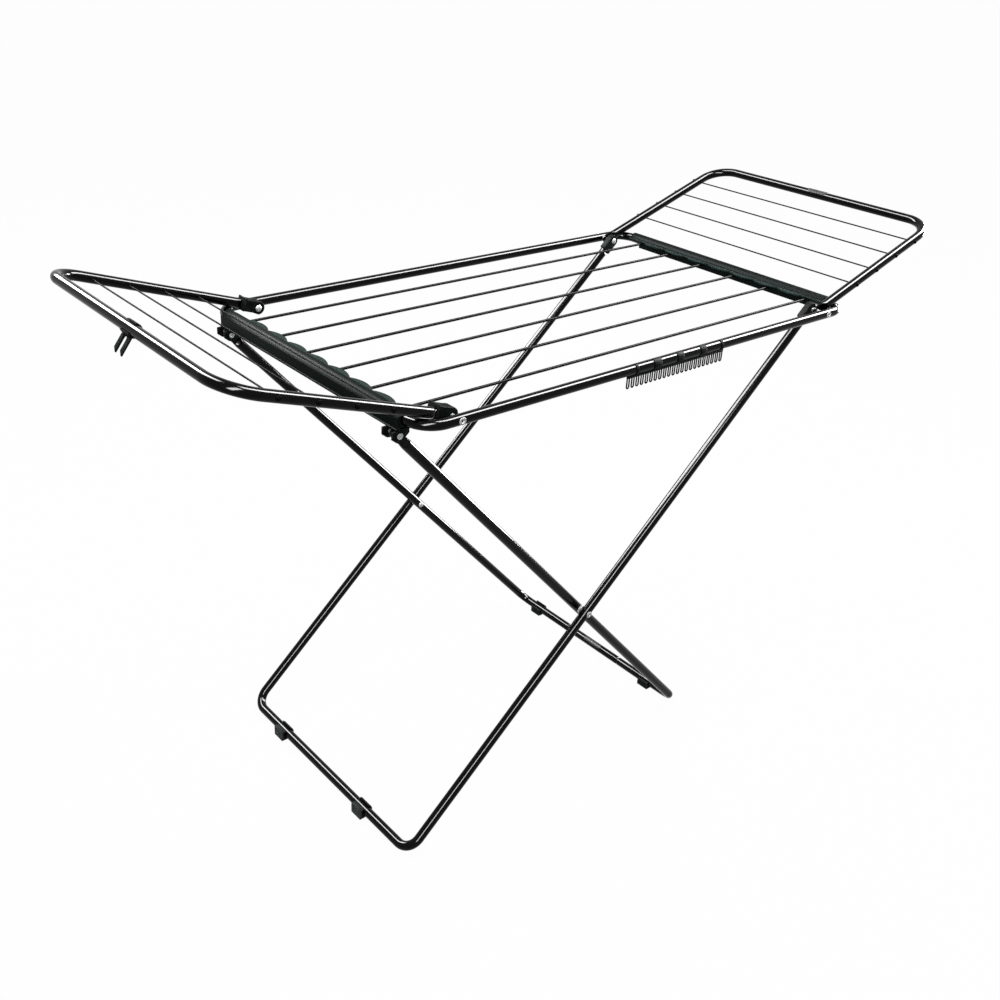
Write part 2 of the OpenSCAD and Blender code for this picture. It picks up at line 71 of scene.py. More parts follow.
MM = 0.001
AXIS_X = Vector((1.0, 0.0, 0.0))
AXIS_Y = Vector((0.0, 1.0, 0.0))
AXIS_Z = Vector((0.0, 0.0, 1.0))
FLIP_X = Matrix.Scale(-1.0, 4, AXIS_X)
FLIP_Y = Matrix.Scale(-1.0, 4, AXIS_Y)
QUARTER = math.pi / 2
Z_ONTO_Y = Matrix.Rotation(QUARTER, 4, "X")
X_ONTO_Y = Matrix.Rotation(QUARTER, 4, "Z")

# Shared sizes: merging distance, sharp-edge angle in radians, a moulding's play round its tube,
# the sideways step in the left wing's arms, and the sides of a turned ring.
MERGE = 1e-6
SHARP = 0.6
PLAY = 0.05 * MM
JOGGLE = 7 * MM
RING_SIDES = 40

Pair = tuple[float, float]
Triple = tuple[float, float, float]


class Half(Enum):
    """One of two mirrored halves, with its sign along the axis between them."""

    @property
    def word(self) -> str:
        """The half's name as the pieces spell it."""
        return self.name.lower()


class Side(Half):
    """The two long sides of the airer."""

    NEAR = -1
    FAR = 1


class End(Half):
    """The two ends of the rack."""

    LEFT = -1
    RIGHT = 1


# ---------------------------------------------------------------- geometry


def vectors(box: Iterable) -> tuple[Vector, Vector]:
    """The low and high corner of a box as vectors."""
    low, high = box
    return Vector(low), Vector(high)


def linked(name: str, data: bpy.types.ID) -> bpy.types.Object:
    """A new object with the given data, linked into the scene."""
    obj = bpy.data.objects.new(name, data)
    bpy.context.collection.objects.link(obj)
    return obj


def only(kind: type, geom: Iterable) -> list:
    """The vertices, edges or faces in an operator's result."""
    return [part for part in geom if isinstance(part, kind)]


@dataclass
class Layout:
    """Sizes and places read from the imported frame, in metres."""

    tube_r: float
    rack_z: float
    end_x: float
    side_y: float
    pivot_x: float
    pivot_z: float
    wing_y: float
    wing_rise: float
    wing_l: float
    outer_y: float
    inner_y: float
    outer_bar: Vector
    inner_bar: Vector
    cross: Vector
    pin: Vector

    @classmethod
    def read(cls, frame: dict) -> "Layout":
        """Works the layout out from the frame's boxes and joints.


        Returns:
            The filled layout.
        """
        joints = {j["name"]: j for j in frame["record"]["behaviour"]["joints"]}
        low, high = vectors(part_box("frame_tube_near"))
        radius = (high.z - low.z) / 2
        pivot = Vector(joints["right_wing_fold"]["pos_m"])
        wing_high = vectors(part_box("right_wing_tube"))[1]
        bar = Vector((wing_high.x - radius, 0.0, wing_high.z - radius)) - pivot
        outer_low, outer_high = vectors(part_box("outer_leg_tube"))
        inner_low, inner_high = vectors(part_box("inner_leg_tube_far"))
        pin_low, pin_high = vectors(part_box("leg_clip_pins"))
        return cls(
            tube_r=radius,
            rack_z=(high.z + low.z) / 2,
            end_x=high.x - radius,
            side_y=-low.y - radius,
            pivot_x=pivot.x,
            pivot_z=pivot.z,
            wing_y=wing_high.y - radius,
            wing_rise=math.atan2(bar.z, bar.x),
            wing_l=bar.length,
            outer_y=outer_high.y - radius,
            inner_y=inner_high.y - radius,
            outer_bar=Vector((outer_low.x + radius, 0.0, outer_low.z + radius)),
            inner_bar=Vector((inner_high.x - radius, 0.0, inner_low.z + radius)),
            cross=Vector(joints["leg_fold"]["pos_m"]),
            pin=(pin_low + pin_high) / 2,
        )

    def wing_frame(self, end: End) -> Matrix:
        """Places wing coordinates, whose +X runs outward from the pivot, in the airer's.

        Args:
            end: which wing.

        Returns:
            The placing matrix.
        """
        turn = Matrix.Rotation(math.pi if end is End.LEFT else 0.0, 4, "Z")
        place = Matrix.Translation((end.value * self.pivot_x, 0.0, self.pivot_z))
        return place @ turn @ Matrix.Rotation(-self.wing_rise, 4, "Y")


def along(origin: Vector, target: Vector) -> Matrix:
    """Matrix at origin whose +X points at target, both in the XZ plane."""
    run = target - origin
    return Matrix.Translation(origin) @ Matrix.Rotation(math.atan2(-run.z, run.x), 4, "Y")


class Shape:
    """A bmesh with the few steps that every piece of the airer needs."""

    def __init__(self) -> None:
        """Starts an empty shape."""
        self.bm = bmesh.new()

    def tidy(self) -> "Shape":
        """Merges doubles and turns the faces outwards."""
        bmesh.ops.remove_doubles(self.bm, verts=self.bm.verts, dist=MERGE)
        bmesh.ops.recalc_face_normals(self.bm, faces=self.bm.faces)
        return self

    def move(self, matrix: Matrix) -> "Shape":
        """Transforms the whole shape and keeps its faces outward.

        Args:
            matrix: the transform, which may mirror.

        Returns:
            The shape itself.
        """
        bmesh.ops.transform(self.bm, matrix=matrix, verts=self.bm.verts)
        if matrix.determinant() < 0:
            bmesh.ops.reverse_faces(self.bm, faces=self.bm.faces)
        return self

    def join(self, other: "Shape") -> "Shape":
        """Adds a copy of another shape's mesh to this one.

        Args:
            other: the shape to copy.

        Returns:
            The shape itself.
        """
        mesh = bpy.data.meshes.new("join")
        other.bm.to_mesh(mesh)
        self.bm.from_mesh(mesh)
        bpy.data.meshes.remove(mesh)
        return self

    def mirrored(self, axis: int) -> "Shape":
        """Mirrors the shape across the plane through the origin and merges the halves.

        Args:
            axis: 0 for X or 1 for Y.

        Returns:
            The shape itself.
        """
        twin = Shape()
        twin.join(self).move((FLIP_X, FLIP_Y)[axis])
        self.join(twin)
        twin.bm.free()
        return self.tidy()

    def bevel_sharp(self, width: float, segments: int = 3, limit: float = SHARP) -> "Shape":
        """Rounds every edge sharper than a limit.

        Args:
            width: bevel width in metres.
            segments: number of bevel segments.
            limit: smallest face angle in radians that is rounded.

        Returns:
            The shape itself.
        """
        self.bm.normal_update()
        sharp = [e for e in self.bm.edges if e.is_manifold and e.calc_face_angle(0.0) > limit]
        bmesh.ops.bevel(self.bm, geom=sharp, offset=width, offset_type="OFFSET", segments=segments,
                        profile=0.5, affect="EDGES", clamp_overlap=True, material=-1)
        return self

    def to_object(self, name: str, smooth_angle: float = 0.7) -> bpy.types.Object:
        """Turns the shape into a linked, smooth-shaded object at the origin.

        Args:
            name: the object's name.
            smooth_angle: edges sharper than this stay sharp, in radians.

        Returns:
            The new object.
        """
        self.bm.normal_update()
        for edge in self.bm.edges:
            if edge.is_manifold and edge.calc_face_angle(0.0) > smooth_angle:
                edge.smooth = False
        for face in self.bm.faces:
            face.smooth = True
        mesh = bpy.data.meshes.new(name)
        self.bm.to_mesh(mesh)
        self.bm.free()
        return linked(name, mesh)


class TubeSweep(Shape):
    """A tube grown ring by ring with extrude and spin, starting along +X or any heading."""

    def __init__(self, radius: float, at: Vector, heading: Vector, segments: int = 32,
                 cap: bool = False) -> None:
        """Starts the sweep with one ring.

        Args:
            radius: the tube's outer radius.
            at: centre of the first ring.
            heading: direction in which the tube grows.
            segments: number of sides of the ring.
            cap: whether the first ring is closed.
        """
        super().__init__()
        self.radius = radius
        self.centre = at.copy()
        self.heading = heading.normalized()
        turn = AXIS_Z.rotation_difference(self.heading).to_matrix().to_4x4()
        bmesh.ops.create_circle(self.bm, cap_ends=cap, radius=radius, segments=segments,
                                matrix=Matrix.Translation(at) @ turn)
        self.ring = list(self.bm.edges)

    def _extrude(self) -> list:
        """Extrudes the ring in place.

        Returns:
            The new ring's vertices.
        """
        made = bmesh.ops.extrude_edge_only(self.bm, edges=self.ring)["geom"]
        verts = only(bmesh.types.BMVert, made)
        fresh = set(verts)
        self.ring = [e for e in only(bmesh.types.BMEdge, made) if fresh.issuperset(e.verts)]
        return verts

    def ring_verts(self) -> list:
        """Vertices of the last ring."""
        return list({v for e in self.ring for v in e.verts})

    def straight(self, length: float) -> "TubeSweep":
        """Grows the tube straight ahead.

        Args:
            length: how far.

        Returns:
            The sweep itself.
        """
        verts = self._extrude()
        bmesh.ops.translate(self.bm, vec=self.heading * length, verts=verts)
        self.centre += self.heading * length
        return self

    def bend(self, radius: float, angle: float, normal: Vector, steps: int = 14) -> "TubeSweep":
        """Bends the tube about a normal by the right-hand rule.

        Args:
            radius: centreline radius.
            angle: angle of the bend in radians.
            normal: axis direction of the bend.
            steps: number of rings.

        Returns:
            The sweep itself.
        """
        inward = normal.cross(self.heading).normalized()
        pivot = self.centre + inward * radius
        made = bmesh.ops.spin(self.bm, geom=self.ring, cent=pivot, axis=normal, angle=angle,
                              steps=steps, use_merge=False)["geom_last"]
        self.ring = only(bmesh.types.BMEdge, made)
        turn = Matrix.Rotation(angle, 3, normal)
        self.centre = pivot + turn @ (self.centre - pivot)
        self.heading = turn @ self.heading
        return self

    def press(self, step: float, thin: float, wide: float, shift: float = 0.0) -> "TubeSweep":
        """Adds a ring that is pressed flat across Y, widened across Z and shifted along Y.

        Args:
            step: distance ahead of the last ring.
            thin: half thickness to press to.
            wide: half width after pressing.
            shift: sideways shift of the new ring from the last.

        Returns:
            The sweep itself.
        """
        verts = self._extrude()
        move = self.heading * step + AXIS_Y * shift
        bmesh.ops.translate(self.bm, vec=move, verts=verts)
        self.centre += move
        reach = max(abs(v.co.z - self.centre.z) for v in verts)
        space = Matrix.Translation(-self.centre)
        bmesh.ops.scale(self.bm, vec=(1.0, 1.0, wide / reach), verts=verts, space=space)
        for vert in verts:
            offset = vert.co.y - self.centre.y
            vert.co.y = self.centre.y + max(-thin, min(thin, offset))
        return self

    def tip(self, wide: float, thin: float, steps: int = 5) -> "TubeSweep":
        """Rounds a pressed tube off with a half circle and closes it.

        Args:
            wide: half width of the flat.
            thin: half thickness of the flat.
            steps: number of rings round the half circle.

        Returns:
            The sweep itself.
        """
        last = 0.0
        blunt = 0.35  # share of a step by which the last ring stops short of closing
        for i in range(1, steps + 1):
            angle = i / (steps + blunt) * QUARTER
            reach = wide * math.sin(angle)
            self.press(reach - last, thin, wide * math.cos(angle))
            last = reach
        return self.close()

    def close(self) -> "TubeSweep":
        """Closes the last ring with a face."""
        bmesh.ops.contextual_create(self.bm, geom=self.ring)
        return self


def extruded(corners: Iterable[Triple], lift: Triple) -> Shape:
    """Extrudes a closed flat outline.

    Args:
        corners: the outline's corners in order.
        lift: direction and length of the extrusion.

    Returns:
        The closed shape.
    """
    shape = Shape()
    face = shape.bm.faces.new([shape.bm.verts.new(corner) for corner in corners])
    made = bmesh.ops.extrude_face_region(shape.bm, geom=[face])["geom"]
    bmesh.ops.translate(shape.bm, vec=lift, verts=only(bmesh.types.BMVert, made))
    return shape.tidy()


def solid_profile(points: Iterable[Pair], y0: float, y1: float) -> Shape:
    """Extrudes a closed outline of (x, z) pairs along Y from y0 to y1."""
    return extruded([(x, y0, z) for x, z in points], (0.0, y1 - y0, 0.0))


def arc(cx: float, cz: float, radius: float, start: float, end: float,
        steps: int = 12) -> list[Pair]:
    """Points on an arc, angles in degrees anticlockwise from +X."""
    angles = (math.radians(start + (end - start) * i / steps) for i in range(steps + 1))
    return [(cx + radius * math.cos(a), cz + radius * math.sin(a)) for a in angles]


def block(size: Triple, at: Triple, bevel: float = 0.0, segments: int = 2) -> Shape:
    """A box with rounded edges.

    Args:
        size: full sizes along X, Y and Z.
        at: centre.
        bevel: edge radius.
        segments: bevel segments.

    Returns:
        The closed shape.
    """
    shape = Shape()
    matrix = Matrix.Translation(at) @ Matrix.Diagonal((*size, 1.0))
    bmesh.ops.create_cube(shape.bm, size=1.0, matrix=matrix)
    if bevel:
        shape.bevel_sharp(bevel, segments)
    return shape


def turned(profile: list[Pair], segments: int, closed: bool) -> Shape:
    """Turns an outline about the Y axis.

    Args:
        profile: outline as (radius, y) pairs.
        segments: sides round the axis.
        closed: whether the outline's last point joins its first.

    Returns:
        The closed shape.
    """
    shape = Shape()
    verts = [shape.bm.verts.new((x, y, 0.0)) for x, y in profile]
    after = verts[1:] + verts[:1] if closed else verts[1:]
    edges = [shape.bm.edges.new(pair) for pair in zip(verts, after)]
    bmesh.ops.spin(shape.bm, geom=edges, cent=(0, 0, 0), axis=AXIS_Y, angle=math.tau,
                   steps=segments, use_merge=True)
    return shape.tidy()


def ring_y(outer: float, inner: float, y0: float, y1: float) -> Shape:
    """A hollow ring about the Y axis, from y0 to y1."""
    return turned([(inner, y0), (outer, y0), (outer, y1), (inner, y1)], RING_SIDES, closed=True)


def peg(radius: float, length: float, at: Triple, segments: int = 32) -> Shape:
    """A cylinder along Y.

    Args:
        radius: its radius.
        length: its length.
        at: its middle.
        segments: sides round it.

    Returns:
        The closed shape.
    """
    shape = Shape()
    bmesh.ops.create_cone(shape.bm, cap_ends=True, segments=segments, radius1=radius,
                          radius2=radius, depth=length, matrix=Matrix.Translation(at) @ Z_ONTO_Y)
    return shape


def cut(target: bpy.types.Object, cutters: Iterable[Shape]) -> None:
    """Subtracts shapes from an object, applies the result and marks its sharp edges.

    Args:
        target: object to cut.
        cutters: closed shapes to take away.
    """
    for shape in cutters:
        tool = shape.to_object("cutter")
        modifier = target.modifiers.new("cut", "BOOLEAN")
        modifier.operation = "DIFFERENCE"
        modifier.solver = "EXACT"
        modifier.object = tool
        graph = bpy.context.evaluated_depsgraph_get()
        mesh = bpy.data.meshes.new_from_object(target.evaluated_get(graph))
        target.modifiers.remove(modifier)
        old, target.data = target.data, mesh
        bpy.data.meshes.remove(old)
        mesh.name = target.name
        bpy.data.objects.remove(tool, do_unlink=True)
    bm = bmesh.new()
    bm.from_mesh(target.data)
    bm.normal_update()
    for face in bm.faces:
        face.smooth = True
    for edge in bm.edges:
        edge.smooth = not (edge.is_manifold and edge.calc_face_angle(0.0) > SHARP)
    bm.to_mesh(target.data)
    bm.free()


def put(obj: bpy.types.Object, matrix: Matrix) -> None:
    """Transforms an object's mesh and keeps its faces outward.

    Args:
        obj: the object.
        matrix: the transform, which may mirror.
    """
    obj.data.transform(matrix)
    if matrix.determinant() < 0:
        obj.data.flip_normals()


# ---------------------------------------------------------------- finishes


class Graph:
    """A node tree with one short way to add, set and link its nodes."""

    def __init__(self, tree: bpy.types.NodeTree) -> None:
        """Takes a node tree over."""
        self.tree = tree

    @classmethod
    def group(cls, name: str, inputs: Iterable[str], outputs: Iterable[str]) -> "Graph":
        """Starts a shared group whose sockets are numbers.

        Args:
            name: the group's name.
            inputs: names of its input sockets.
            outputs: names of its output sockets.

        Returns:
            The group's graph.
        """
        tree = bpy.data.node_groups.new(name, "ShaderNodeTree")
        for way, sockets in (("INPUT", inputs), ("OUTPUT", outputs)):
            for socket in sockets:
                tree.interface.new_socket(socket, in_out=way, socket_type="NodeSocketFloat")
        return cls(tree)

    def fill(self, node: bpy.types.Node, *ordered: object, **named: object) -> bpy.types.Node:
        """Sets a node's attributes and inputs; an output socket given as a value is linked.

        Args:
            node: the node.
            ordered: values of its first inputs, in order.
            named: attributes, and inputs by name with _ for a space.

        Returns:
            The node.
        """
        for key, value in (*enumerate(ordered), *named.items()):
            if isinstance(key, str) and hasattr(node, key):
                setattr(node, key, value)
                continue
            into = node.inputs[key.replace("_", " ") if isinstance(key, str) else key]
            if isinstance(value, bpy.types.NodeSocket):
                self.tree.links.new(value, into)
            else:
                into.default_value = value
        return node

    def add(self, kind: str, *ordered: object, **named: object) -> bpy.types.Node:
        """Adds a node of a kind and fills it."""
        return self.fill(self.tree.nodes.new(kind), *ordered, **named)


class MaterialGraph(Graph):
    """The graph of a new material with one Principled shader."""

    def __init__(self, name: str) -> None:
        """Makes the material."""
        self.material = bpy.data.materials.new(name)
        self.material.use_nodes = True
        super().__init__(self.material.node_tree)
        self.shader = self.tree.nodes["Principled BSDF"]


def grain_group() -> bpy.types.NodeTree:
    """Builds the shared group for fine surface grain.

    Returns:
        A group from Fine Scale and Broad Scale to Height and Mottle.
    """
    graph = Graph.group("surface_grain", ("Fine Scale", "Broad Scale"), ("Height", "Mottle"))
    start = graph.add("NodeGroupInput")
    place = graph.add("ShaderNodeTexCoord")
    fine, broad = (
        graph.add("ShaderNodeTexNoise", Vector=place.outputs["Object"],
                  Scale=start.outputs[scale], Detail=detail)
        for scale, detail in (("Fine Scale", 3.0), ("Broad Scale", 4.0)))
    graph.add("NodeGroupOutput", Height=fine.outputs["Fac"], Mottle=broad.outputs["Fac"])
    return graph.tree


def wear_group() -> bpy.types.NodeTree:
    """Builds the shared group that lightens sharp convex edges, partly as wear and partly as a painted
    highlight on the bevels.

    Returns:
        A group with input Amount and one output, 1 on the sharp convex edges that are lightened.
    """
    graph = Graph.group("edge_wear", ("Amount",), ("Wear",))
    start = graph.add("NodeGroupInput")
    shape = graph.add("ShaderNodeNewGeometry")
    rise = graph.add("ShaderNodeMapRange", Value=shape.outputs["Pointiness"], From_Min=0.54,
                     From_Max=0.64)
    scale = graph.add("ShaderNodeMath", rise.outputs["Result"], start.outputs["Amount"],
                      operation="MULTIPLY")
    graph.add("NodeGroupOutput", Wear=scale.outputs[0])
    return graph.tree


@dataclass(frozen=True)
class Finish:
    """A surface finish: colours, gloss and grain.

    Attributes:
        name: material name.
        colour: main linear colour.
        mottle: second colour that broad patches drift to.
        roughness: lowest roughness.
        spread: how much the roughness rises in patches.
        metallic: metal or not.
        fine: scale of the fine grain.
        broad: scale of the broad patches.
        bump: depth of the fine grain in metres.
        specular: strength of the plain reflection.
        wear: how much sharp edges are lightened, partly as wear and partly as a painted highlight.
        rubbed: colour of those lighter edges, partly wear and partly painted highlight.
    """

    name: str
    colour: Triple
    mottle: Triple
    roughness: float
    spread: float = 0.08
    metallic: float = 0.0
    fine: float = 900.0
    broad: float = 14.0
    bump: float = 0.00002
    specular: float = 0.5
    wear: float = 0.0
    rubbed: Triple = (0.2, 0.2, 0.2)

    def build(self, groups: dict[str, bpy.types.NodeTree]) -> bpy.types.Material:
        """Builds the node material.

        Args:
            groups: the shared node groups by name.

        Returns:
            The material.
        """
        graph = MaterialGraph(self.name)
        grain = graph.add("ShaderNodeGroup", node_tree=groups["grain"], Fine_Scale=self.fine,
                          Broad_Scale=self.broad)
        blend = graph.add("ShaderNodeMix", data_type="RGBA", Factor=grain.outputs["Mottle"],
                          A=(*self.colour, 1.0), B=(*self.mottle, 1.0))
        # Sharp convex edges are lightened in colour: partly wear, partly a painted highlight on the
        # bevels.
        worn_and_lit = graph.add("ShaderNodeGroup", node_tree=groups["wear"], Amount=self.wear)
        rub_and_lit = graph.add("ShaderNodeMix", data_type="RGBA", Factor=worn_and_lit.outputs["Wear"],
                        A=blend.outputs["Result"], B=(*self.rubbed, 1.0))
        rough = graph.add("ShaderNodeMapRange", Value=grain.outputs["Mottle"],
                          To_Min=self.roughness, To_Max=self.roughness + self.spread)
        bump = graph.add("ShaderNodeBump", Distance=self.bump, Height=grain.outputs["Height"])
        graph.fill(graph.shader, Metallic=self.metallic, Specular_IOR_Level=self.specular,
                   Base_Color=rub_and_lit.outputs["Result"], Roughness=rough.outputs["Result"],
                   Normal=bump.outputs["Normal"])
        return graph.material


# The lighter colour on sharp edges in these finishes is partly wear and partly a painted highlight on
# the bevels.
FINISHES: dict[str, Finish] = {
    "tube_coat": Finish("gloss_black_coat", (0.0008, 0.0008, 0.0009), (0.0018, 0.0018, 0.002), 0.1,
                        spread=0.03, fine=160.0, bump=0.0000002, specular=0.075),
    "rod_coat": Finish("satin_black_coat", (0.001, 0.001, 0.0012), (0.0024, 0.0024, 0.0026), 0.34,
                       fine=400.0, bump=0.0000005, specular=0.02),
    "line_coat": Finish("black_wire_coat", (0.001, 0.001, 0.0012), (0.0024, 0.0024, 0.0026), 0.5,
                        fine=800.0, bump=0.000002, specular=0.012),
    "plastic": Finish("moulded_black", (0.0042, 0.0062, 0.0058), (0.007, 0.0098, 0.0092), 0.46,
                      spread=0.1, specular=0.014, bump=0.000001, wear=0.45,
                      rubbed=(0.12, 0.135, 0.13)),
    # The strip's cover and tongue are one plastic in two copies: the darker cover copy is painted shade
    # on its side faces, and the lighter green tongue copy is painted light on its upward face.
    "strip_cover_painted_shade": Finish("moulded_cover_black", (0.0045, 0.0078, 0.007), (0.0068, 0.0112, 0.0102), 0.42,
                          specular=0.01, bump=0.0000004, wear=0.15,
                          rubbed=(0.06, 0.075, 0.07)),
    "strip_tongue_painted_light": Finish("moulded_green_black", (0.021, 0.037, 0.033), (0.027, 0.046, 0.041), 0.46,
                           spread=0.1, specular=0.012, bump=0.000001, wear=0.2,
                           rubbed=(0.1, 0.13, 0.125)),
    "badge": Finish("badge_grey", (0.006, 0.0064, 0.007), (0.01, 0.0104, 0.011), 0.3, fine=1200.0,
                    specular=0.06, wear=0.6, rubbed=(0.14, 0.14, 0.15)),
    "white_nylon": Finish("white_nylon", (0.82, 0.82, 0.8), (0.75, 0.75, 0.73), 0.4, specular=0.1),
    "sleeve_steel": Finish("plain_steel", (0.5, 0.5, 0.5), (0.42, 0.42, 0.43), 0.3, metallic=1.0),
    "zinc": Finish("bright_zinc", (0.5, 0.5, 0.49), (0.38, 0.39, 0.4), 0.5, metallic=0.12,
                   specular=0.1, fine=1100.0),
}


class Wardrobe:
    """All materials, each built once and handed out by slot name."""

    def __init__(self) -> None:
        """Builds the shared groups and every finish."""
        groups = {"grain": grain_group(), "wear": wear_group()}
        self.materials = {slot: finish.build(groups) for slot, finish in FINISHES.items()}

    def dress(self, obj: bpy.types.Object, slot: str) -> None:
        """Gives an object one finish.

        Args:
            obj: the object.
            slot: slot of the finish.
        """
        if obj.data.materials:
            obj.data.materials.clear()
        obj.data.materials.append(self.materials[slot])

    def dress_frame(self, frame: dict) -> None:
        """Gives every CAD node the finish of its record slot.
        """
        slots = {s["node"]: s["material_slot"] for s in frame["record"]["subparts"]}
        for name, obj in frame["nodes"].items():
            material = self.materials[slots[name]]
            for holder in obj.material_slots:
                holder.material = material


@dataclass
class Workshop:
    """What every sub-assembly needs to finish its pieces."""

    layout: Layout
    wardrobe: Wardrobe

    def finish(self, shape_or_obj: object, name: str, slot: str, body: str,
               replaced: Iterable[str] = (), smooth: float = 0.7,
               look: str = "") -> bpy.types.Object:
        """Names, dresses and mounts a piece.

        Args:
            shape_or_obj: a Shape or a finished object.
            name: the piece's name.
            slot: record slot of its finish.
            body: body that it rides on.
            replaced: CAD nodes that it stands for.
            smooth: sharp-edge angle for a Shape.
            look: its own finish, where that isn't the slot's.

        Returns:
            The object.
        """
        obj = shape_or_obj
        if isinstance(obj, Shape):
            obj = obj.to_object(name, smooth)
        obj.name = name
        obj.data.name = name
        self.wardrobe.dress(obj, look or slot)
        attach(obj, body)
        if replaced:
            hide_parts(*replaced)
        LOG.info("%s on %s, %d faces", name, body, len(obj.data.polygons))
        return obj


# ---------------------------------------------------------------- sub-assemblies


def smooth_step(t: float) -> float:
    """Eases from 0 to 1."""
    return t * t * (3 - 2 * t)


@dataclass
class BentFrames:
    """The bent tubes of the rack, the wings and both leg frames."""

    shop: Workshop
    rack_r: float = 38 * MM
    wing_r: float = 50 * MM
    leg_r: float = 28 * MM
    flat: float = 1.5 * MM
    flat_half: float = 9 * MM
    leg_flat_half: float = 8 * MM
    hook_half: float = 7 * MM
    wing_flat_l: float = 12 * MM
    wing_taper: float = 12 * MM
    joggle_taper: float = 28 * MM
    leg_flat_l: float = 22 * MM
    hook_flat_l: float = 18 * MM
    leg_taper: float = 12 * MM
    seam: float = 0.25 * MM
    crimp: float = 0.9 * MM
    crimp_l: float = 5 * MM
    crimp_y: float = 70 * MM
    seam_share: float = 0.96
    press_steps: int = 9
    hook_slot: float = 3.3 * MM
    hook_mouth: float = 30 * MM
    cut_w: float = 20 * MM

    def rack(self) -> None:
        """Two half loops that meet in the middle of the end tubes."""
        lay = self.shop.layout
        for side in Side:
            sweep = TubeSweep(lay.tube_r, Vector(), AXIS_X)
            sweep.straight(lay.end_x - self.rack_r)
            sweep.bend(self.rack_r, QUARTER, AXIS_Z)
            sweep.straight(lay.side_y - self.rack_r - 2 * self.seam)
            sweep.straight(self.seam)
            space = Matrix.Translation(-sweep.centre)
            bmesh.ops.scale(sweep.bm, vec=(self.seam_share, 1.0, self.seam_share),
                            verts=sweep.ring_verts(), space=space)
            sweep.close()
            sweep.mirrored(0)
            place = Matrix.Translation((0.0, -lay.side_y, lay.rack_z))
            if side is Side.FAR:
                place = FLIP_Y @ place
            sweep.move(place)
            name = side.word
            self.shop.finish(sweep, f"rack_half_{name}", "tube_coat", "main_frame",
                             [f"frame_tube_{name}"])

    def _arm_end(self, sweep: TubeSweep, flat_l: float, taper: float, half: float,
                 shift: float = 0.0) -> TubeSweep:
        """Presses the end of an arm flat, with an optional sideways joggle.

        Args:
            sweep: the tube, heading along X towards its pivot.
            flat_l: length of the flat short of the pivot.
            taper: length of the taper from round to flat.
            half: half width of the flat.
            shift: sideways shift over the taper.

        Returns:
            The closed sweep.
        """
        last = 0.0
        for i in range(1, self.press_steps + 1):
            ease = smooth_step(i / self.press_steps)
            thin = sweep.radius + (self.flat - sweep.radius) * ease
            wide = sweep.radius + (half - sweep.radius) * ease
            sweep.press(taper / self.press_steps, thin, wide, shift * (ease - last))
            last = ease
        sweep.press(flat_l, self.flat, half)
        return sweep.tip(half, self.flat)

    def _half_u(self, width: float, length: float, radius: float, stop: float) -> TubeSweep:
        """Half of a U tube from the middle of its bar to near the end of its +Y arm.

        Args:
            width: distance of the arm from the middle.
            length: distance of the bar from the pivot, along X.
            radius: centreline radius of the corner.
            stop: distance from the pivot at which the round tube stops.

        Returns:
            The open sweep, heading along -X.
        """
        sweep = TubeSweep(self.shop.layout.tube_r, AXIS_X * length, AXIS_Y)
        sweep.straight(width - radius)
        sweep.bend(radius, QUARTER, AXIS_Z)
        sweep.straight(length - radius - stop)
        return sweep

    def wings(self) -> None:
        """Both wing tubes; the left one's arms are joggled inwards."""
        lay = self.shop.layout
        for end in End:
            left = end is End.LEFT
            taper = self.joggle_taper if left else self.wing_taper
            shift = -JOGGLE if left else 0.0
            sweep = self._half_u(lay.wing_y, lay.wing_l, self.wing_r, self.wing_flat_l + taper)
            self._arm_end(sweep, self.wing_flat_l, taper, self.flat_half, shift)
            sweep.mirrored(1).move(lay.wing_frame(end))
            name = end.word
            self.shop.finish(sweep, f"{name}_wing_loop", "tube_coat", f"{name}_wing",
                             [f"{name}_wing_tube"])

    def outer_leg(self) -> None:
        """The outer leg frame, one bent tube."""
        lay = self.shop.layout
        top = Vector((lay.pivot_x, 0.0, lay.pivot_z))
        length = (lay.outer_bar - top).length
        sweep = self._half_u(lay.outer_y, length, self.leg_r, self.leg_flat_l + self.leg_taper)
        self._arm_end(sweep, self.leg_flat_l, self.leg_taper, self.leg_flat_half)
        sweep.mirrored(1).move(along(top, lay.outer_bar))
        self.shop.finish(sweep, "outer_leg_loop", "tube_coat", "outer_leg", ["outer_leg_tube"])

    def inner_leg(self) -> None:
        """The two inner leg halves with hooked tips and crimps beside the crossing."""
        lay = self.shop.layout
        length = (lay.inner_bar - lay.pin).length
        stop = self.hook_flat_l + self.leg_taper
        for side in Side:
            sweep = TubeSweep(lay.tube_r, Vector((length, self.seam, 0)), AXIS_Y, cap=True)
            sweep.straight(self.crimp_y - self.seam)
            self._roll_crimp(sweep)
            sweep.straight(lay.inner_y - self.leg_r - self.crimp_y - self.crimp_l)
            sweep.bend(self.leg_r, QUARTER, AXIS_Z)
            sweep.straight(length - self.leg_r - stop)
            self._arm_end(sweep, self.hook_flat_l, self.leg_taper, self.hook_half)
            sweep.tidy()
            if side is Side.NEAR:
                sweep.move(FLIP_Y)
            sweep.move(along(lay.pin, lay.inner_bar))
            name = side.word
            obj = sweep.to_object(f"inner_leg_{name}")
            self._cut_hook(obj, side)
            self.shop.finish(obj, f"inner_leg_half_{name}", "tube_coat", "inner_leg",
                             [f"inner_leg_tube_{name}"])

